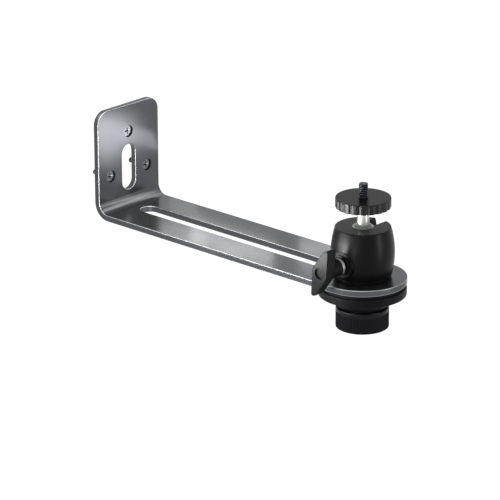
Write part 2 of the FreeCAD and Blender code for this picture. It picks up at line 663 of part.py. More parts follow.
def build_ball_stem():
    """Ball and stem, turned in one, with a hole for the stud."""
    body = turned("ball_stem", [
        ("0", "ball_low", "ball_radius"), ("stem_radius", "stem_foot"),
        ("stem_radius", "stem_top"), ("0", "stem_top")])
    hole = new_sketch(body, "stud_hole_outline", "XY_Plane", "Sizes.stem_top")
    draw_circle(hole, "0", "0", "stud_bore")
    extrude(body, "Pocket", "stud_hole", hole, "Sizes.stud_sink + Sizes.slip_gap")
    return body


def build_disc():
    """Lock disc with finger flutes round its rim and a hexagonal pocket for its nut."""
    body = turned("fluted_disc", [
        ("stud_bore", "disc_low"), ("disc_rim", "disc_low"), ("disc_radius", "disc_low_rim"),
        ("disc_radius", "disc_top_rim"), ("disc_rim", "disc_top"), ("stud_bore", "disc_top")])
    outline = new_sketch(body, "flute_outline", "XY_Plane", "Sizes.disc_low")
    draw_circle(outline, "flute_across", "flute_along", "flute_radius")
    flute = extrude(body, "Pocket", "flute", outline, "Sizes.disc_thickness", reverse=True)
    flutes = body.newObject("PartDesign::PolarPattern", "flutes")
    flutes.Originals = [flute]
    flutes.Axis = (outline, ["N_Axis"])
    flutes.Angle = 360
    bind(flutes, Occurrences="Sizes.flute_count")
    body.Tip = flutes
    doc.recompute()
    pocket = hexagon("nut_pocket", "Sizes.nut_radius", "Sizes.disc_low",
                     "Sizes.disc_low + Sizes.nut_thickness")
    return cut("knurled_disc", body, pocket)


def build_disc_insert():
    """Hexagonal nut moulded into the disc from below."""
    blank = hexagon("nut_blank", "Sizes.nut_radius", "Sizes.disc_low",
                    "Sizes.disc_low + Sizes.nut_thickness")
    hole = doc.addObject("Part::Cylinder", "nut_hole")
    bind(hole, Radius="Sizes.stud_bore", Height="2 * Sizes.disc_thickness")
    hole.setExpression(".Placement.Base.z", "Sizes.stem_top")
    return cut("disc_insert", blank, hole)


place_on_head(build_ball_stem(), "ball_stem")
place_on_head(turned("thread_stud", [
    ("0", "stud_low"), ("bolt_radius", "stud_low"), ("bolt_radius", "relief_low"),
    ("relief_radius", "relief_low"), ("relief_radius", "relief_high"),
    ("bolt_radius", "relief_high"), ("bolt_radius", "stud_end_start"),
    ("stud_end_radius", "stud_top"), ("0", "stud_top")]), "thread_stud")
place_on_head(tube("disc_washer", "Sizes.disc_washer_radius", "Sizes.stud_bore",
                   "Sizes.washer_low", "Sizes.washer_low + Sizes.washer_thickness"), "disc_washer")
place_on_head(build_disc(), "knurled_disc")
place_on_head(build_disc_insert(), "disc_insert")


# Lock lever: plug, screw, collar and wing, all drawn along the lever's axis


def build_wing():
    """Moulded wing with two staggered tips, a round hub and a dish in its outer face."""
    body = new_body("wing_lever")
    outline = new_sketch(body, "wing_outline", "XY_Plane", "Sizes.wing_start")
    corners = [("wing_tip_across", "wing_tip_up"), ("wing_back_across", "wing_back_up"),
               ("-wing_heel_across", "wing_heel_up")]
    opposite = [tuple(term[1:] if term.startswith("-") else "-" + term for term in corner)
                for corner in corners]
    draw_outline(outline, corners + opposite)
    extrude(body, "Pad", "wing", outline, "Sizes.wing_thickness")

    def upright_at(*wanted):
        places = [(size(across), size(up)) for across, up in wanted]
        return lambda edge: runs_along(edge, Z_AXIS) and any(
            close(edge.CenterOfMass.x, across) and close(edge.CenterOfMass.y, up)
            for across, up in places)

    soften(body, "Fillet", "wing_tips", "Sizes.wing_tip_round",
           upright_at(corners[0], corners[1], opposite[0], opposite[1]))
    soften(body, "Fillet", "wing_heels", "Sizes.wing_heel_round",
           upright_at(corners[2], opposite[2]))
    soften(body, "Fillet", "wing_edges", "Sizes.wing_edge",
           lambda edge: is_sharp(body.Tip.Shape, edge))
    hub = new_sketch(body, "hub_outline", "XY_Plane", "Sizes.collar_end")
    draw_circle(hub, "0", "0", "lever_hub_radius")
    extrude(body, "Pad", "hub", hub, "Sizes.wing_start - Sizes.collar_end")
    dish = new_sketch(body, "dish_outline", "XY_Plane", "Sizes.wing_face")
    draw_circle(dish, "0", "0", "wing_dish_radius")
    extrude(body, "Pocket", "dish", dish, "Sizes.wing_dish_depth")
    hole = new_sketch(body, "lock_screw_socket_outline", "XY_Plane", "Sizes.collar_end")
    draw_circle(hole, "0", "0", "lock_radius")
    extrude(body, "Pocket", "lock_screw_socket", hole, "Sizes.lock_end - Sizes.collar_end",
            reverse=True)
    return body


place_on_lever(turned("pressure_plug", [
    ("0", "plug_nose"), ("plug_radius", "plug_shoulder"), ("plug_radius", "plug_tail"),
    ("0", "plug_tail")]), "pressure_plug")
place_on_lever(turned("lock_screw", [
    ("0", "lock_start"), ("lock_radius", "lock_start"), ("lock_radius", "lock_end"),
    ("0", "lock_end")]), "lock_screw")
place_on_lever(tube("lever_collar", "Sizes.collar_radius", "Sizes.lock_radius",
                    "Sizes.collar_start", "Sizes.collar_end"), "lever_collar")
place_on_lever(build_wing(), "wing_lever")


# Clamp under the arm: rubber ring, flange, washer, knob and bolt


def build_flange():
    """Round dish with a hollow-sided cone that leads down to the knob."""
    body = turned("clamp_flange", [
        ("stud_bore", "-flange_low"), ("flange_foot_radius", "-flange_low", "-cone_hollow"),
        ("cone_radius", "-rim_low"), ("flange_radius", "-rim_low"),
        ("flange_radius", "-pad_low"), ("stud_bore", "-pad_low")])
    soften(body, "Chamfer", "flange_rims", "Sizes.flange_edge",
           lambda edge: (ring_at(-size("pad_low"), size("flange_radius"))(edge)
                         or ring_at(-size("rim_low"), size("flange_radius"))(edge)))
    return body


def build_bolt_shape(name):
    """Hexagon-head bolt, head down: the bolt itself, and the room that the knob leaves for it."""
    head = hexagon(name + "_head", "Sizes.bolt_head_radius", "-Sizes.bolt_head_low",
                   "-Sizes.bolt_head_top")
    shank = doc.addObject("Part::Cylinder", name + "_shank")
    bind(shank, Radius="Sizes.bolt_radius", Height="Sizes.bolt_head_low + Sizes.bolt_reach")
    shank.setExpression(".Placement.Base.z", "-Sizes.bolt_head_low")
    return fuse(name, head, shank)


def build_knob():
    """Knob with bevelled rims, moulded round the bolt."""
    body = turned("knob_blank", [
        ("0", "-knob_low"), ("knob_radius", "-knob_low"), ("knob_radius", "-knob_top"),
        ("0", "-knob_top")])
    soften(body, "Chamfer", "knob_top_rim", "Sizes.knob_top_edge",
           ring_at(-size("knob_top"), size("knob_radius")))
    soften(body, "Chamfer", "knob_low_rim", "Sizes.knob_low_edge",
           ring_at(-size("knob_low"), size("knob_radius")))
    return cut("clamp_knob", body, build_bolt_shape("bolt_room"))


place_on_head(tube("flange_pad", "Sizes.flange_pad_radius", "Sizes.bush_radius + Sizes.running_gap",
                   "-Sizes.pad_low", "-Sizes.pad_high"), "flange_pad")
place_on_head(build_flange(), "clamp_flange")
place_on_head(tube("thrust_washer", "Sizes.thrust_radius", "Sizes.stud_bore",
                   "-Sizes.thrust_low", "-Sizes.flange_low"), "thrust_washer")
place_on_head(build_knob(), "clamp_knob")
place_on_head(build_bolt_shape("clamp_bolt"), "clamp_bolt")


# Check and write


doc.recompute()
for item in doc.Objects:
    if "Invalid" in item.State or "Error" in item.State:
        raise RuntimeError(f"{item.Name} failed: {item.State}")
for piece in pieces:
    shape = piece.Shape
    if shape.isNull() or not shape.isValid() or len(shape.Solids) != 1:
        raise RuntimeError(f"{piece.Label} is not one valid solid")

os.makedirs("parts", exist_ok=True)
for piece in pieces:
    piece.Shape.exportStep(f"parts/{piece.Label}.step")
    bounds = piece.Shape.BoundBox
    print(f"{piece.Label}: {piece.Shape.Volume:.1f} mm3, "
          f"X {bounds.XMin:.2f} to {bounds.XMax:.2f}, "
          f"Y {bounds.YMin:.2f} to {bounds.YMax:.2f}, "
          f"Z {bounds.ZMin:.2f} to {bounds.ZMax:.2f}")
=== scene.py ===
"""Looks of the projector wall mount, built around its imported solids. Lengths are in metres."""
import json
import logging
from dataclasses import dataclass, field
from enum import Enum
from math import asin, atan2, copysign, cos, hypot, pi, radians, sin, sqrt, tan

import bmesh
import bpy
from bpy.types import ID, Material, Mesh, Node, NodeSocket, NodeTree, Object
from mathutils import Matrix, Vector


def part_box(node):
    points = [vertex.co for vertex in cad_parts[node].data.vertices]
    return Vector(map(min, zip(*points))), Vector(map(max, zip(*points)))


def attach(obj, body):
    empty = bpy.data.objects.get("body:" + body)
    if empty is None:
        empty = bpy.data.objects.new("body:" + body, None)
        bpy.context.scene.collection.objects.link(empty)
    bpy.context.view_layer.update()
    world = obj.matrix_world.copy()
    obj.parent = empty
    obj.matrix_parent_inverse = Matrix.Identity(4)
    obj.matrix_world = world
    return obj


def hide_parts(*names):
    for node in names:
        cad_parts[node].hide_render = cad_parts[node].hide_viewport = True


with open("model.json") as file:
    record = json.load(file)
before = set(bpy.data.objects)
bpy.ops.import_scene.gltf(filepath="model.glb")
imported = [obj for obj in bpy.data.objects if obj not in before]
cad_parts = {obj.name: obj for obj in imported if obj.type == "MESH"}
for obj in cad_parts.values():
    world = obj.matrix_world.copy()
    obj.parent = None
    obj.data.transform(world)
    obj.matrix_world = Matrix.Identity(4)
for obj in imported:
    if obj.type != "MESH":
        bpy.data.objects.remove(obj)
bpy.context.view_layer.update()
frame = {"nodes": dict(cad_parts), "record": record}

MM = 0.001
# Air between the arm and the rubber pad on it
SLIP = 0.05 * MM
# Points closer than this are one point, on an axis, or on a plane
WELD = 0.0005 * MM
ON_AXIS = 1e-7
ON_PLANE = 1e-8
ROUNDING_STEPS = 5
# Share of a side that one rounding may take up
SIDE_SHARE = 0.49
# How much more flat faces count than bevels when normals are shared
FLAT_WEIGHT = 80
LOG = logging.getLogger("wall_mount")
WALL_SCREWS = ("wall_screw_top", "wall_screw_left", "wall_screw_right")
NODE_SLOTS = {row["node"]: row["material_slot"] for row in frame["record"]["subparts"]}
NODE_BODIES = {node: body for body, nodes in frame["record"]["behaviour"]["bodies"].items()
               for node in nodes}
Pair = tuple[float, float]
Triple = tuple[float, float, float]


class Term:
    """Output of a node, so that a formula in a node tree can be written with the usual signs."""

    def __init__(self, tree: NodeTree, socket: NodeSocket) -> None:
        """Wrap a socket of a tree."""
        self.tree, self.socket = tree, socket

    def apply(self, operation: str, *others: object) -> "Term":
        """Result of a Math node on this number and others."""
        numbers = dict(enumerate((self, *others)))
        return Term(self.tree, add_node(self.tree, "ShaderNodeMath", numbers, operation=operation).outputs[0])

    def __add__(self, other: object) -> "Term":
        """Sum of two numbers."""
        return self.apply("ADD", other)

    def __sub__(self, other: object) -> "Term":
        """Difference of two numbers."""
        return self.apply("SUBTRACT", other)

    def __mul__(self, other: object) -> "Term":
        """Product of two numbers."""
        return self.apply("MULTIPLY", other)

    def __truediv__(self, other: object) -> "Term":
        """One number divided by another."""
        return self.apply("DIVIDE", other)

    def __abs__(self) -> "Term":
        """The number without its sign."""
        return self.apply("ABSOLUTE")


def feed(tree: NodeTree, node: Node, inputs: dict[str | int, object]) -> None:
    """Link or set inputs of a node.

    Args:
        tree: Tree that holds the node.
        node: Node that gets them.
        inputs: Terms, sockets or plain values, by the input's name or number.
    """
    for key, value in inputs.items():
        value = value.socket if isinstance(value, Term) else value
        if isinstance(value, NodeSocket):
            tree.links.new(value, node.inputs[key])
        else:
            node.inputs[key].default_value = value


def add_node(tree: NodeTree, kind: str, inputs: dict[str | int, object], **settings: object) -> Node:
    """Add a node to a tree.

    Args:
        tree: Tree that gets the node.
        kind: Type of the node.
        inputs: Terms, sockets or plain values, by the input's name or number.
        **settings: Properties of the node.

    Returns:
        The node.
    """
    node = tree.nodes.new(kind)
    for key, value in settings.items():
        setattr(node, key, value)
    feed(tree, node, inputs)
    return node


class Grain(Enum):
    """What the skin of a finish is like, seen close."""

    BLASTED = "fine, even grains of a blasted metal"
    TURNED = "rings left by a lathe"
    MOULDED = "soft grain of moulded plastic"
    RUBBER = "dull, slightly uneven rubber"


@dataclass(frozen=True)
class Finish:
    """One surface finish and the numbers of its shader.

    Attributes:
        name: Name of the material.
        colour: Linear base colour.
        metallic: Share of metal.
        roughness: Mean roughness.
        grain: Kind of skin.
        gloss: Specular level of the part that is not metal.
        tone: How far the tone drifts over the surface, as a share of the colour.
        blur: How far the roughness drifts.
        relief: Height of the grain.
        edge_tint: How much of the shine stays where a metal is seen at a flat angle.
        grain_size: Width of one grain.
        lathe_stretch: How a lathe draws the grains out into rings.
        drift_size: Width of the patches in which the tone drifts.
        noise_reach: Levels of the noise that count as its ends.
        drift_detail: Finer layers in that drift.
        grain_detail: Finer layers in the grain.
        smoothest: Roughness that no patch goes below.
    """

    name: str
    colour: Triple
    metallic: float
    roughness: float
    grain: Grain
    gloss: float = 0.5
    tone: float = 0.1
    blur: float = 0.04
    relief: float = 0.001 * MM
    edge_tint: float = 1.0
    grain_size: float = 0.25 * MM
    lathe_stretch: Triple = (0.02, 0.02, 1.0)
    drift_size: float = 1 / 45
    noise_reach: Pair = (0.3, 0.7)
    drift_detail: float = 3.0
    grain_detail: float = 2.0
    smoothest: float = 0.02

    def noise(self, tree: NodeTree, place: NodeSocket, width: float, detail: float) -> NodeSocket:
        """Noise whose patches have the given width."""
        inputs = {"Vector": place, "Scale": 1 / width, "Detail": detail}
        return add_node(tree, "ShaderNodeTexNoise", inputs).outputs["Fac"]

    def material(self) -> Material:
        """Build the material, or fetch it if it is there already.

        Returns:
            The material of this finish.
        """
        known = bpy.data.materials.get(self.name)
        if known:
            return known
        material = bpy.data.materials.new(self.name)
        material.use_nodes = True
        tree = material.node_tree
        place = fine_place = add_node(tree, "ShaderNodeTexCoord", {}).outputs["Object"]
        if self.grain is Grain.TURNED:
            stretch = add_node(tree, "ShaderNodeMapping", {"Vector": place, "Scale": self.lathe_stretch})
            fine_place = stretch.outputs["Vector"]
        drift = self.noise(tree, place, self.drift_size, self.drift_detail)
        fine = self.noise(tree, fine_place, self.grain_size, self.grain_detail)
        tones = add_node(tree, "ShaderNodeValToRGB", {"Fac": drift})
        shares = (1 - self.tone, 1 + self.tone)
        for element, level, share in zip(tones.color_ramp.elements, self.noise_reach, shares):
            element.position = level
            element.color = (*(min(channel * share, 1.0) for channel in self.colour), 1.0)
        blur = add_node(tree, "ShaderNodeMapRange", {
            "Value": fine, "From Min": self.noise_reach[0], "From Max": self.noise_reach[1],
            "To Min": max(self.roughness - self.blur, self.smoothest),
            "To Max": self.roughness + self.blur})
        bump = add_node(tree, "ShaderNodeBump", {"Height": fine, "Distance": self.relief})
        feed(tree, tree.nodes["Principled BSDF"], {
            "Base Color": tones.outputs["Color"], "Metallic": self.metallic,
            "Roughness": blur.outputs["Result"], "Normal": bump.outputs["Normal"],
            "Specular IOR Level": self.gloss, "Specular Tint": (self.edge_tint,) * 3 + (1.0,)})
        return material


GUNMETAL = Finish("blasted_gunmetal", (0.082, 0.085, 0.092), 0.85, 0.24, Grain.BLASTED, blur=0.015,
                  relief=0.0006 * MM, edge_tint=0.8)
BLACK_COAT = Finish("satin_black_coat", (0.0035, 0.0035, 0.004), 0.0, 0.36, Grain.BLASTED, gloss=0.1)
# Bevels of the sheet: in part a brighter machined chamfer, and in part a painted highlight, as the lighter
# metal colour stands in for the glints along the edges
BEVEL_AND_PAINTED_HIGHLIGHT = Finish("bright_bevel_and_painted_highlight", (0.28, 0.285, 0.295), 0.9, 0.42, Grain.BLASTED, tone=0.05,
              blur=0.01, relief=0.0003 * MM)
LEVER_BLACK = Finish("dark_grey_lever", (0.014, 0.0145, 0.015), 0.0, 0.38, Grain.MOULDED, gloss=0.08)
DISC_BLACK = Finish("black_disc", (0.006, 0.006, 0.006), 0.0, 0.3, Grain.MOULDED, gloss=0.06)
DISC_RIM = Finish("black_disc_rim", (0.007, 0.007, 0.007), 0.0, 0.34, Grain.MOULDED, gloss=0.22)
PLASTIC = Finish("black_moulded_plastic", (0.005, 0.0048, 0.007), 0.0, 0.45, Grain.MOULDED, gloss=0.08)
POLISHED = Finish("polished_stem_steel", (0.85, 0.85, 0.84), 0.45, 0.3, Grain.TURNED, tone=0.04, blur=0.03)
SATIN_BALL = Finish("satin_steel_ball", (0.36, 0.375, 0.36), 0.3, 0.45, Grain.BLASTED, tone=0.03)
KNOB_BLACK = Finish("black_knob", (0.0048, 0.0045, 0.007), 0.0, 0.33, Grain.MOULDED, gloss=0.14)
BLUED = Finish("blued_stud_steel", (0.022, 0.025, 0.036), 0.0, 0.34, Grain.TURNED, gloss=0.4)
# Painted shade: the thread's roots get this near-black colour in place of the shade that falls in the grooves
THREAD_ROOT_PAINTED_SHADE = Finish("painted_shade_thread_root", (0.002, 0.002, 0.003), 0.0, 0.5, Grain.TURNED, gloss=0.02)
SCREW = Finish("darkened_screw_steel", (0.14, 0.145, 0.155), 0.85, 0.3, Grain.TURNED)
# Painted shade: the walls of the sunk screw holes get this near-black colour in place of the shade that falls
# inside them
SINK_PAINTED_SHADE = Finish("painted_shade_countersink", (0.006, 0.006, 0.007), 0.0, 0.5, Grain.BLASTED, gloss=0.1)
STEEL = Finish("bright_fitting_steel", (0.6, 0.6, 0.59), 0.8, 0.22, Grain.TURNED)
BRASS = Finish("turned_brass", (0.62, 0.42, 0.16), 1.0, 0.25, Grain.TURNED)
NYLON = Finish("natural_nylon", (0.62, 0.6, 0.54), 0.0, 0.4, Grain.MOULDED)
RUBBER = Finish("black_rubber", (0.004, 0.004, 0.004), 0.0, 0.6, Grain.RUBBER, gloss=0.08)

SLOT_FINISHES = {
    "bracket_metal": GUNMETAL, "housing_metal": BLACK_COAT, "polished_steel": POLISHED,
    "blued_steel": BLUED, "fitting_steel": STEEL, "screw_steel": SCREW, "brass": BRASS,
    "moulded_plastic": PLASTIC, "seat_nylon": NYLON, "pad_rubber": RUBBER,
}
NODE_FINISHES = {"wing_lever": LEVER_BLACK, "lever_collar": POLISHED}


@dataclass(frozen=True)
class Corner:
    """Corner of an outline.

    Attributes:
        across: Distance from the axis.
        up: Level.
        rounding: Radius of the corner's rounding.
    """

    across: float
    up: float
    rounding: float = 0.0

    @property
    def spot(self) -> Vector:
        """Its place in the outline."""
        return Vector((self.across, self.up))


def arc(centre: Pair, radius: float, start: float, sweep: float, steps: int) -> list[Pair]:
    """Points of an arc, with both of its ends.

    Args:
        centre: Centre of the arc.
        radius: Its radius.
        start: Angle of the first point, in radians.
        sweep: Angle from there to the last point.
        steps: Pieces of the arc.

    Returns:
        The points in order.
    """
    turns = [start + sweep * step / steps for step in range(steps + 1)]
    return [(centre[0] + radius * cos(turn), centre[1] + radius * sin(turn)) for turn in turns]


def bowed(start: Pair, end: Pair, radius: float, steps: int) -> list[Corner]:
    """Corners along an arc between two places, its ends left out.

    Args:
        start: First place.
        end: Last place.
        radius: Radius; a positive one bows to the right of the way.
        steps: Pieces of the arc.

    Returns:
        The corners between the ends.
    """
    first, last = Vector(start), Vector(end)
    way = last - first
    left = Vector((-way.y, way.x)).normalized()
    height = sqrt(radius ** 2 - (way.length / 2) ** 2)
    centre = (first + last) / 2 + left * copysign(height, radius)
    begin = atan2(first.y - centre.y, first.x - centre.x)
    sweep = 2 * asin(way.length / 2 / abs(radius)) * copysign(1, radius)
    return [Corner(*spot) for spot in arc(centre, abs(radius), begin, sweep, steps)[1:-1]]


def round_corners(corners: list[Corner]) -> list[Pair]:
    """Turn the corners of a closed line into points, with arcs at the rounded ones.

    Args:
        corners: Corners in order.

    Returns:
        Points (across, up) of the line.
    """
    points = []
    for index, corner in enumerate(corners):
        here = corner.spot
        if not corner.rounding:
            points.append(tuple(here))
            continue
        back, ahead = corners[index - 1].spot - here, corners[(index + 1) % len(corners)].spot - here
        half = back.angle(ahead) / 2
        reach = min(corner.rounding / tan(half), back.length * SIDE_SHARE, ahead.length * SIDE_SHARE)
        to_middle = reach * tan(half) / sin(half)
        middle = here + (back.normalized() + ahead.normalized()).normalized() * to_middle
        first = here + back.normalized() * reach - middle
        last = here + ahead.normalized() * reach - middle
        points += arc(middle, first.length, atan2(first.y, first.x), -first.angle_signed(last),
                      ROUNDING_STEPS)
    return points


def closed_mesh(name: str, shape: bmesh.types.BMesh) -> Mesh:
    """Make a mesh of a closed shape.

    Args:
        name: Name of the mesh.
        shape: The shape, which is used up.

    Returns:
        The mesh, with its normals outward.
    """
    bmesh.ops.recalc_face_normals(shape, faces=shape.faces)
    mesh = bpy.data.meshes.new(name)
    shape.to_mesh(mesh)
    shape.free()
    return mesh


def turned_mesh(name: str, corners: list[Corner], steps: int) -> Mesh:
    """Turn a closed outline about the upright axis.

    Args:
        name: Name of the mesh.
        corners: Corners of a closed line.
        steps: Pieces of a full turn.

    Returns:
        A closed mesh with its normals outward.
    """
    shape = bmesh.new()
    rings = [[shape.verts.new((*spot, up)) for spot in arc((0, 0), across, 0, 2 * pi, steps)[:-1]]
             if across > ON_AXIS else [shape.verts.new((0, 0, up))]
             for across, up in round_corners(corners)]
    for ring, following in zip(rings, rings[1:] + rings[:1]):
        for step in range(steps):
            ahead = (step + 1) % steps
            points = dict.fromkeys((ring[step % len(ring)], following[step % len(following)],
                                    following[ahead % len(following)], ring[ahead % len(ring)]))
            if len(points) > 2:
                shape.faces.new(tuple(points))
    return closed_mesh(name, shape)


def prism(name: str, near: list[Triple], far: list[Triple]) -> Mesh:
    """Make a closed body between two outlines with as many points.

    Args:
        name: Name of the mesh.
        near: Points of the first outline.
        far: Points of the second one.

    Returns:
        The mesh, with its normals outward.
    """
    shape = bmesh.new()
    first, last = ([shape.verts.new(point) for point in line] for line in (near, far))
    shape.faces.new(first)
    shape.faces.new(last)
    for index in range(len(first)):
        ahead = (index + 1) % len(first)
        shape.faces.new((first[index], first[ahead], last[ahead], last[index]))
    return closed_mesh(name, shape)


def new_object(name: str, data: ID) -> Object:
    """Put a mesh, curve, light or camera into the scene as an object at the origin.

    Args:
        name: Name of the object.
        data: What it shows.

    Returns:
        The object.
    """
    item = bpy.data.objects.new(name, data)
    bpy.context.scene.collection.objects.link(item)
    return item


def placed(mesh: Mesh, place: Vector, turn: float = 0.0, axis: str = "Z") -> Mesh:
    """Turn a mesh and put it in its place.

    Args:
        mesh: Mesh that was made at the origin.
        place: Where its origin goes.
        turn: Angle that it is turned by first, in radians.
        axis: Axis of that turn.

    Returns:
        The same mesh.
    """
    mesh.transform(Matrix.Translation(place) @ Matrix.Rotation(turn, 4, axis))
    return mesh


def settle(item: Object) -> Object:
    """Apply an object's modifiers, so that it holds one plain mesh.

    Args:
        item: Object with modifiers.

    Returns:
        The same object, without modifiers.
    """
    graph = bpy.context.evaluated_depsgraph_get()
    mesh = bpy.data.meshes.new_from_object(item.evaluated_get(graph), depsgraph=graph)
    mesh.name = item.name
    item.modifiers.clear()
    item.data = mesh
    return item


class Carving(Enum):
    """How one object changes another."""

    ADD = "UNION"
    CUT = "DIFFERENCE"


def carve(item: Object, others: list[Object], carving: Carving) -> None:
    """Change an object by others, which are used up.

    Args:
        item: Object that changes.
        others: Objects that join or cut it, in order.
        carving: Which of the two they do.
    """
    for other in others:
        step = item.modifiers.new(other.name, "BOOLEAN")
        step.operation = carving.value
        step.solver = "EXACT"
        step.object = other
    settle(item)
    for other in others:
        bpy.data.objects.remove(other)


def join(name: str, items: list[Object]) -> Object:
    """Put the meshes of several objects into one.

    Args:
        name: Name of the joined object.
        items: Objects that are used up.

    Returns:
        The joined object.
    """
    shape = bmesh.new()
    for item in items:
        shape.from_mesh(item.data)
        bpy.data.objects.remove(item)
    mesh = bpy.data.meshes.new(name)
    shape.to_mesh(mesh)
    shape.free()
    return new_object(name, mesh)


def hand_over(item: Object, node: str, *finishes: Finish, sharp_degrees: float = 35.0) -> None:
    """Shade and dress a piece, and let it stand for a solid of the frame.

    Args:
        item: The finished piece.
        node: Solid that it stands for.
        *finishes: Its finishes, in the order of the faces' material numbers.
        sharp_degrees: Edges that turn more than this stay sharp; the rest is shaded smooth.
    """
    item.data.shade_smooth()
    item.data.set_sharp_from_angle(angle=radians(sharp_degrees))
    flat_first = item.modifiers.new("flat_faces_first", "WEIGHTED_NORMAL")
    flat_first.keep_sharp = True
    flat_first.weight = FLAT_WEIGHT
    settle(item)
    numbers = [face.material_index for face in item.data.polygons]
    item.data.materials.clear()
    for finish in finishes:
        item.data.materials.append(finish.material())
    for face, number in zip(item.data.polygons, numbers):
        face.material_index = min(number, len(finishes) - 1)
    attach(item, NODE_BODIES[node])
    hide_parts(node)
    LOG.info("%s stands for %s, %d faces", item.name, node, len(item.data.polygons))


class Rule:
    """Geometry Nodes tree that sets how far the points of a round piece are from the upright axis."""

    def __init__(self, name: str, finish: Finish, sizes: tuple[str, ...], counts: tuple[str, ...]) -> None:
        """Start the tree with its inputs, and with where a point lies.

        Args:
            name: Name of the tree.
            finish: Finish that the tree sets on its result.
            sizes: Names of the inputs that are sizes.
            counts: Names of the inputs that are whole numbers.
        """
        self.tree = bpy.data.node_groups.new(name, "GeometryNodeTree")
        self.finish = finish
        kinds = {"Geometry": "Geometry", **dict.fromkeys(sizes, "Float"), **dict.fromkeys(counts, "Int")}
        self.sockets = {label: self.tree.interface.new_socket(
            label, in_out="INPUT", socket_type="NodeSocket" + kind).identifier
            for label, kind in kinds.items()}
        self.tree.interface.new_socket("Geometry", in_out="OUTPUT", socket_type="NodeSocketGeometry")
        start = self.tree.nodes.new("NodeGroupInput")
        self.geometry, *self.given = (Term(self.tree, start.outputs[label]) for label in kinds)
        parts = add_node(self.tree, "ShaderNodeSeparateXYZ", {0: self.node("GeometryNodeInputPosition", {})})
        self.across, self.along, self.up = (Term(self.tree, part) for part in parts.outputs)
        self.turn = self.along.apply("ARCTAN2", self.across) / (2 * pi)
        self.own = (self.across * self.across + self.along * self.along).apply("SQRT")

    def node(self, kind: str, inputs: dict[str | int, object], **settings: object) -> Term:
        """First output of a new node."""
        return Term(self.tree, add_node(self.tree, kind, inputs, **settings).outputs[0])

    def finish_with(self, geometry: Term, wanted: Term, chosen: Term | bool = True) -> None:
        """End the tree: points moved, real geometry, and its finish set.

        Args:
            geometry: The piece.
            wanted: How far each point will be from the axis.
            chosen: Which points move.
        """
        share = wanted / self.own.apply("MAXIMUM", ON_AXIS)
        moved = self.node("ShaderNodeCombineXYZ", {
            "X": self.across * share, "Y": self.along * share, "Z": self.up})
        shaped = self.node("GeometryNodeSetPosition", {
            "Geometry": geometry, "Selection": chosen, "Position": moved})
        real = self.node("GeometryNodeRealizeInstances", {"Geometry": shaped})
        dressed = self.node("GeometryNodeSetMaterial", {
            "Geometry": real, "Material": self.finish.material()})
        add_node(self.tree, "NodeGroupOutput", {0: dressed})

    def run(self, item: Object, values: dict[str, float]) -> Object:
        """Let the tree work on an object.

        Args:
            item: Object that the tree reads and changes.
            values: Values of the named inputs.

        Returns:
            The object with the result as a plain mesh.
        """
        modifier = item.modifiers.new(self.tree.name, "NODES")
        modifier.node_group = self.tree
        for name, value in values.items():
            modifier[self.sockets[name]] = value
        return settle(item)


class Threads:
    """Screw threads, cut by one rule into plain rods."""

    def __init__(self, flank_start: float = 0.3, flank_end: float = 0.8) -> None:
        """Write the rule: a ridge that climbs by one pitch in each turn.

        Args:
            flank_start: Where the crest ends, as a share of the way to the middle of the root.
            flank_end: Where the root starts on that way.
        """
        self.rule = rule = Rule("screw_thread", BLUED, ("Radius", "Depth", "Pitch", "Length", "Taper"),
                                ("Turns Cut", "Sides"))
        radius, depth, pitch, length, taper, turns_cut, sides = rule.given
        rod = rule.node("GeometryNodeMeshCylinder", {
            "Vertices": sides, "Side Segments": turns_cut, "Radius": radius, "Depth": length},
            fill_type="TRIANGLE_FAN")
        saw = (rule.up / pitch - rule.turn).apply("FRACT") * 2.0 - 1.0
        ridge = rule.node("ShaderNodeMapRange", {
            "Value": abs(saw), "From Min": flank_start, "From Max": flank_end})
        tapered = radius - taper + (length * 0.5 - abs(rule.up))
        wanted = (radius - ridge * depth).apply("MINIMUM", tapered)
        rule.finish_with(rod, wanted, rule.own.apply("GREATER_THAN", radius * 0.5))

    def rod(self, name: str, radius: float, depth: float, pitch: float, length: float, taper: float,
            sides: int = 48, rings_per_turn: int = 12) -> Object:
        """Make a threaded rod about the upright axis, its middle at the origin.

        Args:
            name: Name of the rod.
            radius: Outer radius of the thread.
            depth: Depth of the thread.
            pitch: Climb in one turn.
            length: Length of the rod.
            taper: How much thinner the rod is at its very ends.
            sides: Corners of the rod's section.
            rings_per_turn: Rings of points in one pitch.

        Returns:
            The rod as an object.
        """
        return self.rule.run(new_object(name, bpy.data.meshes.new(name)), {
            "Radius": radius, "Depth": depth, "Pitch": pitch, "Length": length, "Taper": taper,
            "Turns Cut": round(length / pitch * rings_per_turn), "Sides": sides})


@dataclass(frozen=True)
class Grooves:
    """Flutes or teeth round a rim.

    Attributes:
        count: Number of grooves.
        radius: Radius of one groove's section.
        depth: Depth of a groove.
        fade: Length over which they run out.
        steps: Pieces of the rim for each groove.
        rings: Pieces of the rim from its lower to its upper end.
        smooth: Height of the upper band that has no grooves.
        shoulder: How strongly the lands round off towards the grooves.
        turn: Angle of the first groove, in radians.
    """

    count: int
    radius: float
    depth: float
    fade: float
    steps: int
    rings: int
    smooth: float = 0.0
    shoulder: float = 0.0
    turn: float = 0.0


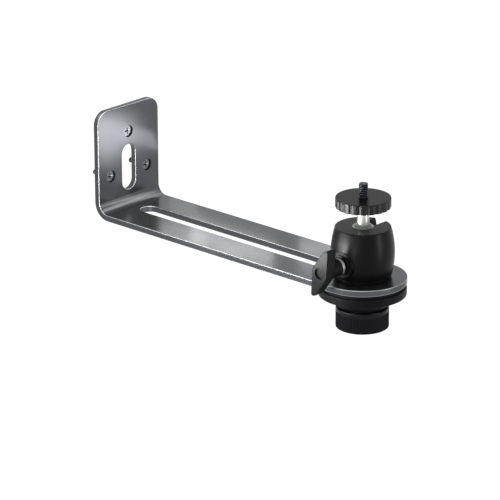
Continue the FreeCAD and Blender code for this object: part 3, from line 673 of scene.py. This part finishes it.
class Rims:
    """Round pieces with flutes or teeth, which one rule cuts into their rims."""

    def __init__(self, shoulder_power: float = 3.0) -> None:
        """Write the rule: round grooves, side by side about the upright axis, between two levels.

        Args:
            shoulder_power: The higher, the nearer to the grooves the lands start to round off.
        """
        self.rule = rule = Rule("rim_grooves", PLASTIC, (
            "Centre", "Groove", "Deep", "Shoulder", "Low", "High", "Fade"), ("Count",))
        centre, groove, deep, shoulder, low, high, fade, count = rule.given
        off = (rule.turn * count + 0.5).apply("FRACT") - 0.5
        angle = off / count * (2 * pi)
        aside = centre * angle.apply("SINE")
        left_over = groove * groove - aside * aside
        floor = centre * angle.apply("COSINE") - left_over.apply("MAXIMUM", 0.0).apply("SQRT")
        cut = (rule.own - floor).apply("MAXIMUM", 0.0) * left_over.apply("GREATER_THAN", 0.0)
        near_groove = abs(off * 2.0) * -1.0 + 1.0
        rounded = shoulder * near_groove.apply("POWER", shoulder_power)
        depth = cut.apply("MAXIMUM", rounded.apply("MINIMUM", deep))
        from_ends = ((rule.up - low) / fade).apply("MINIMUM", (high - rule.up) / fade)
        within = rule.node("ShaderNodeClamp", {"Value": from_ends})
        rule.finish_with(rule.geometry, rule.own - depth * within)

    def wheel(self, name: str, node: str, axis: Vector, hole: float, low_edge: float, high_edge: float,
              grooves: Grooves) -> Object:
        """Make a grooved piece as large as its solid.

        Args:
            name: Name of the piece.
            node: Its solid.
            axis: Where its axis is.
            hole: Radius of the hole in it.
            low_edge: Rounding of its lower rim.
            high_edge: Rounding of its upper rim.
            grooves: The grooves in its rim.

        Returns:
            The piece in its place.
        """
        low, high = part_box(node)
        radius, height = (high.y - low.y) / 2, high.z - low.z
        mesh = turned_mesh(name, [
            Corner(hole, low.z), Corner(radius, low.z, low_edge),
            *(Corner(radius, low.z + height * ring / grooves.rings) for ring in range(1, grooves.rings)),
            Corner(radius, high.z, high_edge), Corner(hole, high.z)], grooves.count * grooves.steps)
        item = self.rule.run(new_object(name, mesh), {
            "Centre": radius + grooves.radius - grooves.depth, "Groove": grooves.radius,
            "Deep": grooves.depth, "Shoulder": grooves.shoulder, "Low": low.z - low_edge,
            "High": high.z - grooves.smooth, "Fade": grooves.fade, "Count": grooves.count})
        placed(item.data, axis, grooves.turn)
        return item


@dataclass
class Bracket:
    """Folded sheet: arm with a long slot, wall plate with a slot and three sunk holes."""

    bend: float = 7.5 * MM
    corner: float = 9.5 * MM
    edge: float = 0.5 * MM
    slot: float = 6.65 * MM
    wall_slot_low: float = 17.2 * MM
    wall_slot_high: float = 37.3 * MM
    arm_slot_start: float = 24.5 * MM
    sink_depth: float = 1.2 * MM
    sink_land: float = 0.4 * MM
    sink_radius: float = 4.2 * MM
    hole_radius: float = 2.1 * MM
    sink_flare: float = 0.15 * MM
    bend_strips: int = 14
    arc_steps: int = 40
    sink_steps: int = 64
    bevel_slopes: Pair = (0.05, 0.95)

    def __post_init__(self) -> None:
        """Read the places that the frame gives."""
        low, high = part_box("bracket")
        self.half, self.plate_top = high.x, high.z
        self.end = low.y + self.half
        self.arm_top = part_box("base_pad")[0].z - SLIP
        self.thickness = self.arm_top - low.z
        self.fold_start = -self.thickness - self.bend
        self.fold_length = self.bend * pi / 2

    def along(self, level: float) -> float:
        """Place of a level of the wall plate on the flat sheet."""
        return level + self.fold_start + self.fold_length - (self.arm_top + self.bend)

    def flat_sheet(self) -> Object:
        """Make the flat sheet with rounded edges.

        Returns:
            The sheet as an object, its middle at level zero.
        """
        top = self.along(self.plate_top) - self.corner
        inset, quarter = self.half - self.corner, pi / 2
        lines = [arc((0, self.end), self.half, pi, pi, self.arc_steps)
                 + arc((inset, top), self.corner, 0, quarter, self.arc_steps // 2)
                 + arc((-inset, top), self.corner, quarter, quarter, self.arc_steps // 2)]
        for low, high in ((self.end, -self.arm_slot_start),
                          (self.along(self.arm_top + self.wall_slot_low),
                           self.along(self.arm_top + self.wall_slot_high))):
            line = (arc((0, low), self.slot, pi, pi, self.arc_steps)
                    + arc((0, high), self.slot, 0, pi, self.arc_steps))
            lines.append(line[::-1])
        curve = bpy.data.curves.new("sheet_outline", "CURVE")
        curve.dimensions = "2D"
        curve.fill_mode = "BOTH"
        curve.extrude = self.thickness / 2 - self.edge
        curve.bevel_depth = self.edge
        curve.bevel_resolution = 2
        curve.offset = -self.edge
        for line in lines:
            spline = curve.splines.new("POLY")
            spline.points.add(len(line) - 1)
            for point, spot in zip(spline.points, line):
                point.co = (*spot, 0, 1)
            spline.use_cyclic_u = True
        item = new_object("bracket_sheet", curve)
        graph = bpy.context.evaluated_depsgraph_get()
        mesh = bpy.data.meshes.new_from_object(item.evaluated_get(graph), depsgraph=graph)
        bpy.data.objects.remove(item)
        mesh.materials.append(GUNMETAL.material())
        mesh.materials.append(BEVEL_AND_PAINTED_HIGHLIGHT.material())
        # Bevel faces get material 1: lighter metal that is in part a painted highlight along the edges
        least, most = self.bevel_slopes
        for face in mesh.polygons:
            face.material_index = int(least < abs(face.normal.z) < most)
        return new_object("bracket_sheet", mesh)

    def fold(self, item: Object) -> None:
        """Fold the flat sheet in place.

        Args:
            item: The flat sheet.
        """
        shape = bmesh.new()
        shape.from_mesh(item.data)
        bmesh.ops.remove_doubles(shape, verts=shape.verts, dist=WELD)
        for strip in range(self.bend_strips + 1):
            line = self.fold_start + self.fold_length * strip / self.bend_strips
            bmesh.ops.bisect_plane(shape, geom=shape.verts[:] + shape.edges[:] + shape.faces[:],
                                   dist=ON_PLANE, plane_co=(0, line, 0), plane_no=(0, 1, 0))
        for vert in shape.verts:
            across, along, above = vert.co
            above -= self.thickness / 2
            if along <= self.fold_start:
                vert.co = (across, along, self.arm_top + above)
                continue
            turn = min((along - self.fold_start) / self.bend, pi / 2)
            past = max(along - self.fold_start - self.fold_length, 0.0)
            reach = self.bend - above
            vert.co = (across, self.fold_start + reach * sin(turn),
                       self.arm_top + self.bend - reach * cos(turn) + past)
        bmesh.ops.recalc_face_normals(shape, faces=shape.faces)
        shape.to_mesh(item.data)
        shape.free()

    def sink(self, node: str) -> Object:
        """Make the cutter for the sunk hole of one wall screw.

        Args:
            node: The screw that sits in the hole.

        Returns:
            The cutter as an object.
        """
        low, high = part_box(node)
        face = self.thickness
        deep = face - self.sink_depth - self.sink_land
        cone_end = deep - (self.sink_radius - self.hole_radius)
        mesh = turned_mesh(node + "_sink", [
            Corner(0, -face), Corner(self.hole_radius, -face), Corner(self.hole_radius, cone_end),
            Corner(self.sink_radius, deep), Corner(self.sink_radius, face - self.sink_flare),
            Corner(self.sink_radius + 2 * self.sink_flare, face + self.sink_flare),
            Corner(0, face + self.sink_flare)], self.sink_steps)
        place = Vector(((low.x + high.x) / 2, 0, (low.z + high.z) / 2))
        return new_object(node + "_sink", placed(mesh, place, pi / 2, "X"))

    def build(self) -> None:
        """Make the bracket and let it stand for its solid."""
        item = self.flat_sheet()
        self.fold(item)
        carve(item, [self.sink(node) for node in WALL_SCREWS], Carving.CUT)
        # The faces of each sunk hole get material 2, the painted shade of the countersink
        middles = [(low + high) / 2 for low, high in map(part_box, WALL_SCREWS)]
        for face in item.data.polygons:
            for middle in middles:
                off = hypot(face.center.x - middle.x, face.center.z - middle.z)
                if off < self.sink_radius + self.sink_flare and -self.thickness < face.center.y < 0:
                    face.material_index = 2
        hand_over(item, "bracket", GUNMETAL, BEVEL_AND_PAINTED_HIGHLIGHT, SINK_PAINTED_SHADE, sharp_degrees=40)


@dataclass
class WallScrew:
    """Countersunk screw with a cross recess and a thread."""

    node: str
    threads: Threads
    head_radius: float = 4.1 * MM
    head_land: float = 0.4 * MM
    head_edge: float = 0.12 * MM
    head_steps: int = 64
    neck_radius: float = 1.7 * MM
    neck: float = 0.5 * MM
    tail_share: float = 0.8
    thread_radius: float = 2.0 * MM
    thread_depth: float = 0.45 * MM
    thread_sides: int = 32
    pitch: float = 1.4 * MM
    end_taper: float = 1.1 * MM
    cross_reach: float = 2.5 * MM
    cross_width: float = 0.5 * MM
    cross_depth: float = 1.5 * MM
    cross_flare: float = 0.5
    cross_floor: float = 0.45

    def cross_bar(self, across: float, along: float) -> Object:
        """Make the cutter for one bar of the cross; it narrows with its depth.

        Args:
            across: Half of its width on the first side.
            along: Half of its width on the other side.

        Returns:
            The cutter, standing on the head's face.
        """
        rise = self.head_land
        levels = ((rise, 1.0 + rise / self.cross_depth * self.cross_flare),
                  (-self.cross_depth, self.cross_floor))
        high, low = ([(side * across * share, end * along * share, level)
                      for side, end in ((-1, -1), (1, -1), (1, 1), (-1, 1))] for level, share in levels)
        return new_object("cross_bar", prism("cross_bar", high, low))

    def build(self) -> None:
        """Make the screw and let it stand for its solid."""
        low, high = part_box(self.node)
        cone_end = -self.head_land - (self.head_radius - self.neck_radius)
        start = cone_end - self.neck
        tail = self.neck_radius * self.tail_share
        head = new_object(self.node + "_head", turned_mesh(self.node, [
            Corner(0, start - self.neck), Corner(tail, start - self.neck), Corner(tail, start),
            Corner(self.neck_radius, start), Corner(self.neck_radius, cone_end),
            Corner(self.head_radius, -self.head_land),
            Corner(self.head_radius, 0, self.head_edge), Corner(0, 0)], self.head_steps))
        carve(head, [self.cross_bar(self.cross_width, self.cross_reach),
                     self.cross_bar(self.cross_reach, self.cross_width)], Carving.CUT)
        length = high.y - low.y + start
        rod = self.threads.rod(self.node + "_thread", self.thread_radius, self.thread_depth, self.pitch,
                               length, self.end_taper, self.thread_sides)
        placed(rod.data, Vector((0, 0, start - length / 2)))
        for face in rod.data.polygons:
            face.material_index = 1
        screw = join(self.node + "_detailed", [head, rod])
        place = Vector(((low.x + high.x) / 2, low.y, (low.z + high.z) / 2))
        placed(screw.data, place, pi / 2, "X")
        hand_over(screw, self.node, SCREW, BLUED, sharp_degrees=30)


@dataclass
class Head:
    """Sizes and places that the ball head's pieces share; the frame gives the places."""

    mouth: float = 7.4 * MM
    socket: float = 11.5 * MM
    crosswise_steps: int = 96

    def __post_init__(self) -> None:
        """Read the axis and the levels."""
        low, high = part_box("thread_stud")
        self.axis = Vector(((low.x + high.x) / 2, (low.y + high.y) / 2, 0))
        low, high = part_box("housing")
        self.base, self.top = low.z, high.z
        self.ball_level = self.top - sqrt(self.socket ** 2 - self.mouth ** 2)
        low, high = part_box("lock_screw")
        self.lever_level = (low.z + high.z) / 2

    def turned(self, name: str, corners: list[Corner], steps: int = 128) -> Object:
        """Make a piece that is turned about the head's axis.

        Args:
            name: Name of the piece.
            corners: Closed outline.
            steps: Pieces of a full turn.

        Returns:
            The piece.
        """
        return new_object(name, placed(turned_mesh(name, corners, steps), self.axis))

    def crosswise(self, name: str, *corners: Corner) -> Object:
        """Make a piece that is turned about the lever's axis; its levels run away from the head.

        Args:
            name: Name of the piece.
            *corners: Closed outline.

        Returns:
            The piece.
        """
        place = self.axis + Vector((0, 0, self.lever_level))
        mesh = turned_mesh(name, list(corners), self.crosswise_steps)
        return new_object(name, placed(mesh, place, -pi / 2, "Y"))


@dataclass
class Housing:
    """Barrel with a ball socket, a mouth, a notch for the stem and a boss for the lever."""

    head: Head
    waist_rise: float = 15.4 * MM
    widest: float = 21.45 * MM
    top_radius: float = 18.8 * MM
    rim: float = 0.5 * MM
    bore: float = 11.6 * MM
    notch: float = 4.8 * MM
    boss_radius: float = 9.2 * MM
    boss_face: float = 21.5 * MM
    boss_rim: float = 0.4 * MM
    lip_radius: float = 6.7 * MM
    lip_rise: float = 0.8 * MM
    sink_radius: float = 5.9 * MM
    sink_depth: float = 1.2 * MM
    screw_hole: float = 3.1 * MM
    side_steps: int = 40
    socket_steps: int = 13
    notch_steps: int = 32
    turn_steps: int = 192

    def barrel(self) -> Object:
        """Make the turned barrel with its bore and socket.

        Returns:
            The barrel as an object.
        """
        base, top, level = self.head.base, self.head.top, self.head.ball_level
        socket, mouth = self.head.socket, self.head.mouth
        rise = top - base - self.waist_rise
        fall = self.widest - self.top_radius
        radius = (rise ** 2 + fall ** 2) / (2 * fall)
        base_radius = sqrt(radius ** 2 - self.waist_rise ** 2) - (radius - self.widest)
        return self.head.turned("housing_barrel", [
            Corner(self.bore, base), Corner(base_radius, base, self.rim),
            *bowed((base_radius, base), (self.top_radius, top), radius, self.side_steps),
            Corner(self.top_radius, top, self.rim), Corner(mouth, top),
            *reversed(bowed((socket, level), (mouth, top), socket, self.socket_steps)),
            Corner(socket, level), Corner(self.bore, level)], self.turn_steps)

    def notch_cutter(self) -> Object:
        """Make the cutter for the notch; its floor is round about the ball's centre.

        Returns:
            The cutter as an object.
        """
        level = self.head.ball_level
        high = self.head.top - level + self.notch
        line = [*arc((0, 0), self.notch, pi, pi, self.notch_steps),
                (self.notch, high), (-self.notch, high)]
        near, far = ([(out, across, level + up) for across, up in line] for out in (0, 2 * self.widest))
        return new_object("notch_cutter", placed(prism("notch_cutter", near, far), self.head.axis))

    def build(self) -> None:
        """Make the housing and let it stand for its solid."""
        item = self.barrel()
        foot, lip_face = self.bore + 2 * self.rim, self.boss_face + self.lip_rise
        boss = self.head.crosswise(
            "boss", Corner(0, foot), Corner(self.boss_radius, foot),
            Corner(self.boss_radius, self.boss_face, self.boss_rim),
            Corner(self.lip_radius, self.boss_face, self.boss_rim / 2),
            Corner(self.lip_radius, lip_face, self.boss_rim / 2), Corner(0, lip_face))
        carve(item, [boss], Carving.ADD)
        start, floor, end = self.bore / 2, lip_face - self.sink_depth, lip_face + self.rim
        sink = self.head.crosswise(
            "boss_sink", Corner(0, start), Corner(self.screw_hole, start),
            Corner(self.screw_hole, floor), Corner(self.sink_radius, floor, self.boss_rim / 2),
            Corner(self.sink_radius, end), Corner(0, end))
        carve(item, [self.notch_cutter(), sink], Carving.CUT)
        hand_over(item, "housing", BLACK_COAT)


@dataclass
class BallStem:
    """Ball and its stem: one turned piece with two finishes."""

    head: Head
    ball: float = 11.4 * MM
    stem: float = 4.15 * MM
    stem_rim: float = 0.35 * MM
    arc_steps: int = 48

    def build(self) -> None:
        """Make both and let them stand for the solid."""
        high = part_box("ball_stem")[1].z
        level = self.head.ball_level
        foot = level + sqrt(self.ball ** 2 - self.stem ** 2)
        sweep = pi - asin(self.stem / self.ball)
        dome = arc((0, level), self.ball, -pi / 2, sweep, self.arc_steps)
        ball = self.head.turned("ball", [*(Corner(*spot) for spot in dome), Corner(0, foot)])
        stem = self.head.turned("stem", [
            Corner(0, foot - self.stem_rim), Corner(self.stem, foot - self.stem_rim),
            Corner(self.stem, high, self.stem_rim), Corner(0, high)])
        hand_over(ball, "ball_stem", SATIN_BALL)
        hand_over(stem, "ball_stem", POLISHED)


@dataclass
class Stud:
    """Quarter inch stud with its thread."""

    head: Head
    threads: Threads
    pitch: float = 1.27 * MM
    depth: float = 0.6 * MM
    taper: float = 0.25 * MM
    flat_end: float = 0.95

    def build(self) -> None:
        """Make the stud and let it stand for its solid."""
        low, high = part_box("thread_stud")
        radius = (high.x - low.x) / 2
        rod = self.threads.rod("threaded_stud", radius, self.depth, self.pitch, high.z - low.z, self.taper)
        placed(rod.data, self.head.axis + Vector((0, 0, (low.z + high.z) / 2)))
        # Faces deep in the thread's roots get material 1, the painted shade of the grooves
        for face in rod.data.polygons:
            off = (face.center - self.head.axis).to_2d().length
            root_in_painted_shade = off < radius - self.depth / 2 and abs(face.normal.z) < self.flat_end
            face.material_index = int(root_in_painted_shade)
        hand_over(rod, "thread_stud", BLUED, THREAD_ROOT_PAINTED_SHADE, sharp_degrees=50)


@dataclass
class Disc:
    """Lock disc with flutes round its rim."""

    head: Head
    rims: Rims
    rounding: float = 0.7 * MM
    hole: float = 3.275 * MM
    flutes: Grooves = Grooves(count=20, radius=1.3 * MM, depth=0.7 * MM, fade=0.7 * MM, steps=30,
                              rings=8, shoulder=0.8 * MM, turn=radians(14.2))
    rim_slope: float = 0.5

    def build(self) -> None:
        """Make the disc and let it stand for its solid."""
        item = self.rims.wheel("lock_disc", "knurled_disc", self.head.axis, self.hole, self.rounding,
                               self.rounding, self.flutes)
        for face in item.data.polygons:
            face.material_index = int(abs(face.normal.z) < self.rim_slope)
        hand_over(item, "knurled_disc", DISC_BLACK, DISC_RIM, sharp_degrees=30)


@dataclass
class Clamp:
    """Flange and knurled knob under the arm."""

    head: Head
    rims: Rims
    bolt_hole: float = 3.275 * MM
    flange_rim_height: float = 5.8 * MM
    flange_edge: float = 0.6 * MM
    flange_step: float = 2.6 * MM
    flange_foot: float = 16.6 * MM
    flange_steps: int = 160
    cone_hollow: float = 26.0 * MM
    cone_steps: int = 16
    knob_top_edge: float = 1.2 * MM
    knob_low_edge: float = 0.8 * MM
    teeth: Grooves = Grooves(count=114, radius=0.5 * MM, depth=0.4 * MM, fade=0.4 * MM, steps=8,
                             rings=12, smooth=3.2 * MM)

    def flange(self) -> None:
        """Make the flange and let it stand for its solid."""
        low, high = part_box("clamp_flange")
        radius = (high.y - low.y) / 2
        rim_low = high.z - self.flange_rim_height
        start, end = (self.flange_foot, low.z), (radius - self.flange_step, rim_low)
        item = self.head.turned("flange", [
            Corner(self.bolt_hole, low.z), Corner(*start),
            *bowed(start, end, -self.cone_hollow, self.cone_steps),
            Corner(*end), Corner(radius, rim_low, self.flange_edge),
            Corner(radius, high.z, self.flange_edge), Corner(self.bolt_hole, high.z)],
            self.flange_steps)
        hand_over(item, "clamp_flange", PLASTIC)

    def knob(self) -> None:
        """Make the knob and let it stand for its solid."""
        item = self.rims.wheel("knob", "clamp_knob", self.head.axis, 0, self.knob_low_edge,
                               self.knob_top_edge, self.teeth)
        hand_over(item, "clamp_knob", KNOB_BLACK, sharp_degrees=30)

    def build(self) -> None:
        """Make both pieces."""
        self.flange()
        self.knob()


# Ways in which the plate, the arm's top and the lever's side mirror the camera's view
FROM_PLATE = (0.69, -0.638, -0.343)
FROM_ARM = (0.69, 0.638, 0.343)
FROM_SIDE = (-0.69, 0.638, -0.343)
HEAD_MIDDLE = (0.0, -0.223, -0.03)


@dataclass(frozen=True)
class Softbox:
    """One soft lamp.

    Attributes:
        name: Name of the lamp.
        aim: Point that it faces, in metres.
        way: Direction from that point to the lamp.
        distance: Distance from that point.
        face: Width and height of its face.
        radiance: Brightness of its face, where 1 is white.
        spread: Angle in degrees that its grid lets through; 180 is no grid.
        on_matt: Whether matt surfaces are lit by it too.
    """

    name: str
    aim: Triple
    way: Triple
    distance: float
    face: Pair
    radiance: float
    spread: float = 180.0
    on_matt: bool = False

    def build(self) -> None:
        """Make the lamp, turned to its aim."""
        data = bpy.data.lights.new(self.name, "AREA")
        data.shape = "RECTANGLE"
        data.size, data.size_y = self.face
        data.energy = self.radiance * pi * self.face[0] * self.face[1]
        if self.spread < 180:
            half = radians(self.spread / 2)
            data.spread = 2 * half
            data.energy *= (tan(half) - half) / tan(half)
        lamp = new_object(self.name, data)
        way = Vector(self.way).normalized()
        lamp.location = Vector(self.aim) + way * self.distance
        lamp.rotation_euler = (-way).to_track_quat("-Z", "Y").to_euler()
        lamp.visible_camera = False
        lamp.visible_diffuse = self.on_matt


@dataclass
class Studio:
    """Floor, world, lamps and camera."""

    floor_level: float = -0.42
    floor_reach: float = 12.0
    floor_white: float = 0.5
    floor_glow: float = 0.85
    sky_on_matt: float = 0.45
    camera_place: Triple = (-1.613642, -1.613288, 0.741116)
    camera_back: Triple = (-0.68965384, -0.63794715, 0.34263832)
    camera_right: Triple = (0.67825162, -0.73482371, -0.00297651)
    camera_reach: float = 50.0
    lens: float = 244.91
    sensor: float = 36.0
    lamps: list[Softbox] = field(default_factory=lambda: [
        Softbox("front_left_box", HEAD_MIDDLE, (-0.9, -0.35, 0.25), 0.8, (0.4, 0.6), 1.2, on_matt=True),
        Softbox("barrel_box", HEAD_MIDDLE, (-0.75, 0.62, -0.1), 0.25, (0.10, 0.05), 28),
        Softbox("barrel_side_box", HEAD_MIDDLE, (-0.93, 0.35, -0.1), 0.25, (0.08, 0.05), 62),
        Softbox("barrel_wide_box", HEAD_MIDDLE, (-0.98, -0.1, -0.1), 0.25, (0.10, 0.05), 9),
        Softbox("barrel_front_card", HEAD_MIDDLE, (0.23, -0.97, 0.0), 0.4, (0.06, 0.2), 14),
        Softbox("boss_card", (-0.0223, -0.223, -0.0325), FROM_SIDE, 0.04, (0.014, 0.014), 8, 60),
        Softbox("disc_card", (-0.012, -0.223, -0.003), (-0.75, 0.62, 0.05), 0.07, (0.03, 0.02), 20, 80),
        Softbox("lever_card", (-0.0437, -0.226, -0.027), FROM_SIDE, 0.04, (0.02, 0.016), 41, 70),
        Softbox("edge_card", (-0.011, -0.062, -0.0535), (-0.445, 0, 0.895), 0.082, (0.14, 0.09), 6.5, 140),
        Softbox("left_edge_card", (-0.012, 0, -0.052), (-0.679, -0.734, 0), 0.1, (0.07, 0.08), 2.4),
        Softbox("left_edge_thin", (-0.03, -0.004, -0.01), (-0.638, -0.69, -0.343), 0.09, (0.03, 0.06), 4),
        Softbox("top_edge_card", (0, -0.005, 0.052), (0.895, -0.445, 0), 0.077, (0.05, 0.09), 3.5),
        Softbox("end_card", (-0.021, -0.244, -0.0535), (-0.2165, -0.2685, 0.939), 0.1, (0.03, 0.03), 8),
        Softbox("near_arm_card", (-0.018, -0.061, -0.053), (0.895, 0, 0.445), 0.07, (0.08, 0.018), 2.8),
        Softbox("near_arm_middle", (-0.018, -0.073, -0.053), (0.895, 0, 0.445), 0.07, (0.055, 0.018), 4.7),
        Softbox("far_arm_card", (0.018, -0.172, -0.053), FROM_ARM, 0.09, (0.03, 0.02), 2),
        Softbox("far_start_card", (0.018, -0.038, -0.053), FROM_ARM, 0.09, (0.02, 0.02), 0.8),
        Softbox("plate_low_card", (-0.024, -0.004, -0.036), FROM_PLATE, 0.035, (0.03, 0.02), 0.5),
        Softbox("plate_card", (-0.026, -0.004, 0.010), FROM_PLATE, 0.12, (0.035, 0.03), 4.6, 55),
        Softbox("plate_left_card", (-0.034, -0.004, 0.004), FROM_PLATE, 0.12, (0.02, 0.035), 4, 50),
        Softbox("fold_card", (0, -0.010, -0.050), (0.69, 0.25, 0.55), 0.08, (0.05, 0.02), 2.5),
    ])

    def by_ray(self, tree: NodeTree, on_matt: float, seen: float) -> NodeSocket:
        """Make a brightness that tells what is seen from what lights matt surfaces.

        Args:
            tree: Node tree that gets the nodes.
            on_matt: Brightness for matt light.
            seen: Brightness for rays of the camera, of reflections and of glass.

        Returns:
            Socket with the brightness.
        """
        path = add_node(tree, "ShaderNodeLightPath", {})
        total = path.outputs["Is Camera Ray"]
        for name in ("Is Glossy Ray", "Is Transmission Ray"):
            total = add_node(tree, "ShaderNodeMath", {0: total, 1: path.outputs[name]},
                             operation="MAXIMUM").outputs[0]
        level = add_node(tree, "ShaderNodeMapRange", {"Value": total, "To Min": on_matt, "To Max": seen})
        return level.outputs["Result"]

    def build_world(self) -> None:
        """Make the surroundings: white, and dimmer for matt surfaces than for what is seen."""
        world = bpy.data.worlds.new("studio")
        world.use_nodes = True
        bpy.context.scene.world = world
        tree = world.node_tree
        feed(tree, tree.nodes["Background"], {
            "Color": (1, 1, 1, 1), "Strength": self.by_ray(tree, self.sky_on_matt, 1.0)})

    def build_floor(self) -> None:
        """Make a pale floor under the object; it is matt, so it keeps the object's shadow."""
        reach = self.floor_reach
        mesh = bpy.data.meshes.new("studio_floor")
        corners = [(-reach, -reach), (reach, -reach), (reach, reach), (-reach, reach)]
        mesh.from_pydata([(*corner, self.floor_level) for corner in corners], [], [(0, 1, 2, 3)])
        floor = new_object("studio_floor", mesh)
        material = bpy.data.materials.new("pale_floor")
        material.use_nodes = True
        tree = material.node_tree
        tree.nodes.clear()
        matt = add_node(tree, "ShaderNodeBsdfDiffuse", {"Color": (self.floor_white,) * 3 + (1,)})
        glow = add_node(tree, "ShaderNodeEmission", {"Strength": self.by_ray(tree, 0.0, self.floor_glow)})
        both = add_node(tree, "ShaderNodeAddShader", {0: matt.outputs[0], 1: glow.outputs[0]})
        add_node(tree, "ShaderNodeOutputMaterial", {"Surface": both.outputs[0]})
        mesh.materials.append(material)

    def build_camera(self) -> None:
        """Make the camera at the viewing angle of the photograph."""
        data = bpy.data.cameras.new("photo_camera")
        data.lens = self.lens
        data.sensor_width = self.sensor
        data.clip_end = self.camera_reach
        camera = new_object("photo_camera", data)
        back, right = Vector(self.camera_back), Vector(self.camera_right)
        turn = Matrix((right, back.cross(right), back)).transposed()
        camera.matrix_world = Matrix.Translation(self.camera_place) @ turn.to_4x4()
        bpy.context.scene.camera = camera

    def build(self) -> None:
        """Make the whole studio."""
        bpy.context.scene.view_settings.view_transform = "Standard"
        self.build_world()
        self.build_floor()
        for lamp in self.lamps:
            lamp.build()
        self.build_camera()


def dress_solids() -> None:
    """Give every solid of the frame the finish of its slot, or its own."""
    for node, solid in frame["nodes"].items():
        finish = NODE_FINISHES.get(node, SLOT_FINISHES[NODE_SLOTS[node]])
        solid.data.materials.clear()
        solid.data.materials.append(finish.material())


def main() -> None:
    """Build the scene in order."""
    logging.basicConfig(level=logging.INFO, format="%(name)s: %(message)s")
    Studio().build()
    dress_solids()
    Bracket().build()
    head, threads, rims = Head(), Threads(), Rims()
    for node in WALL_SCREWS:
        WallScrew(node, threads).build()
    Housing(head).build()
    BallStem(head).build()
    Stud(head, threads).build()
    Disc(head, rims).build()
    Clamp(head, rims).build()


if __name__ == "__main__":
    main()
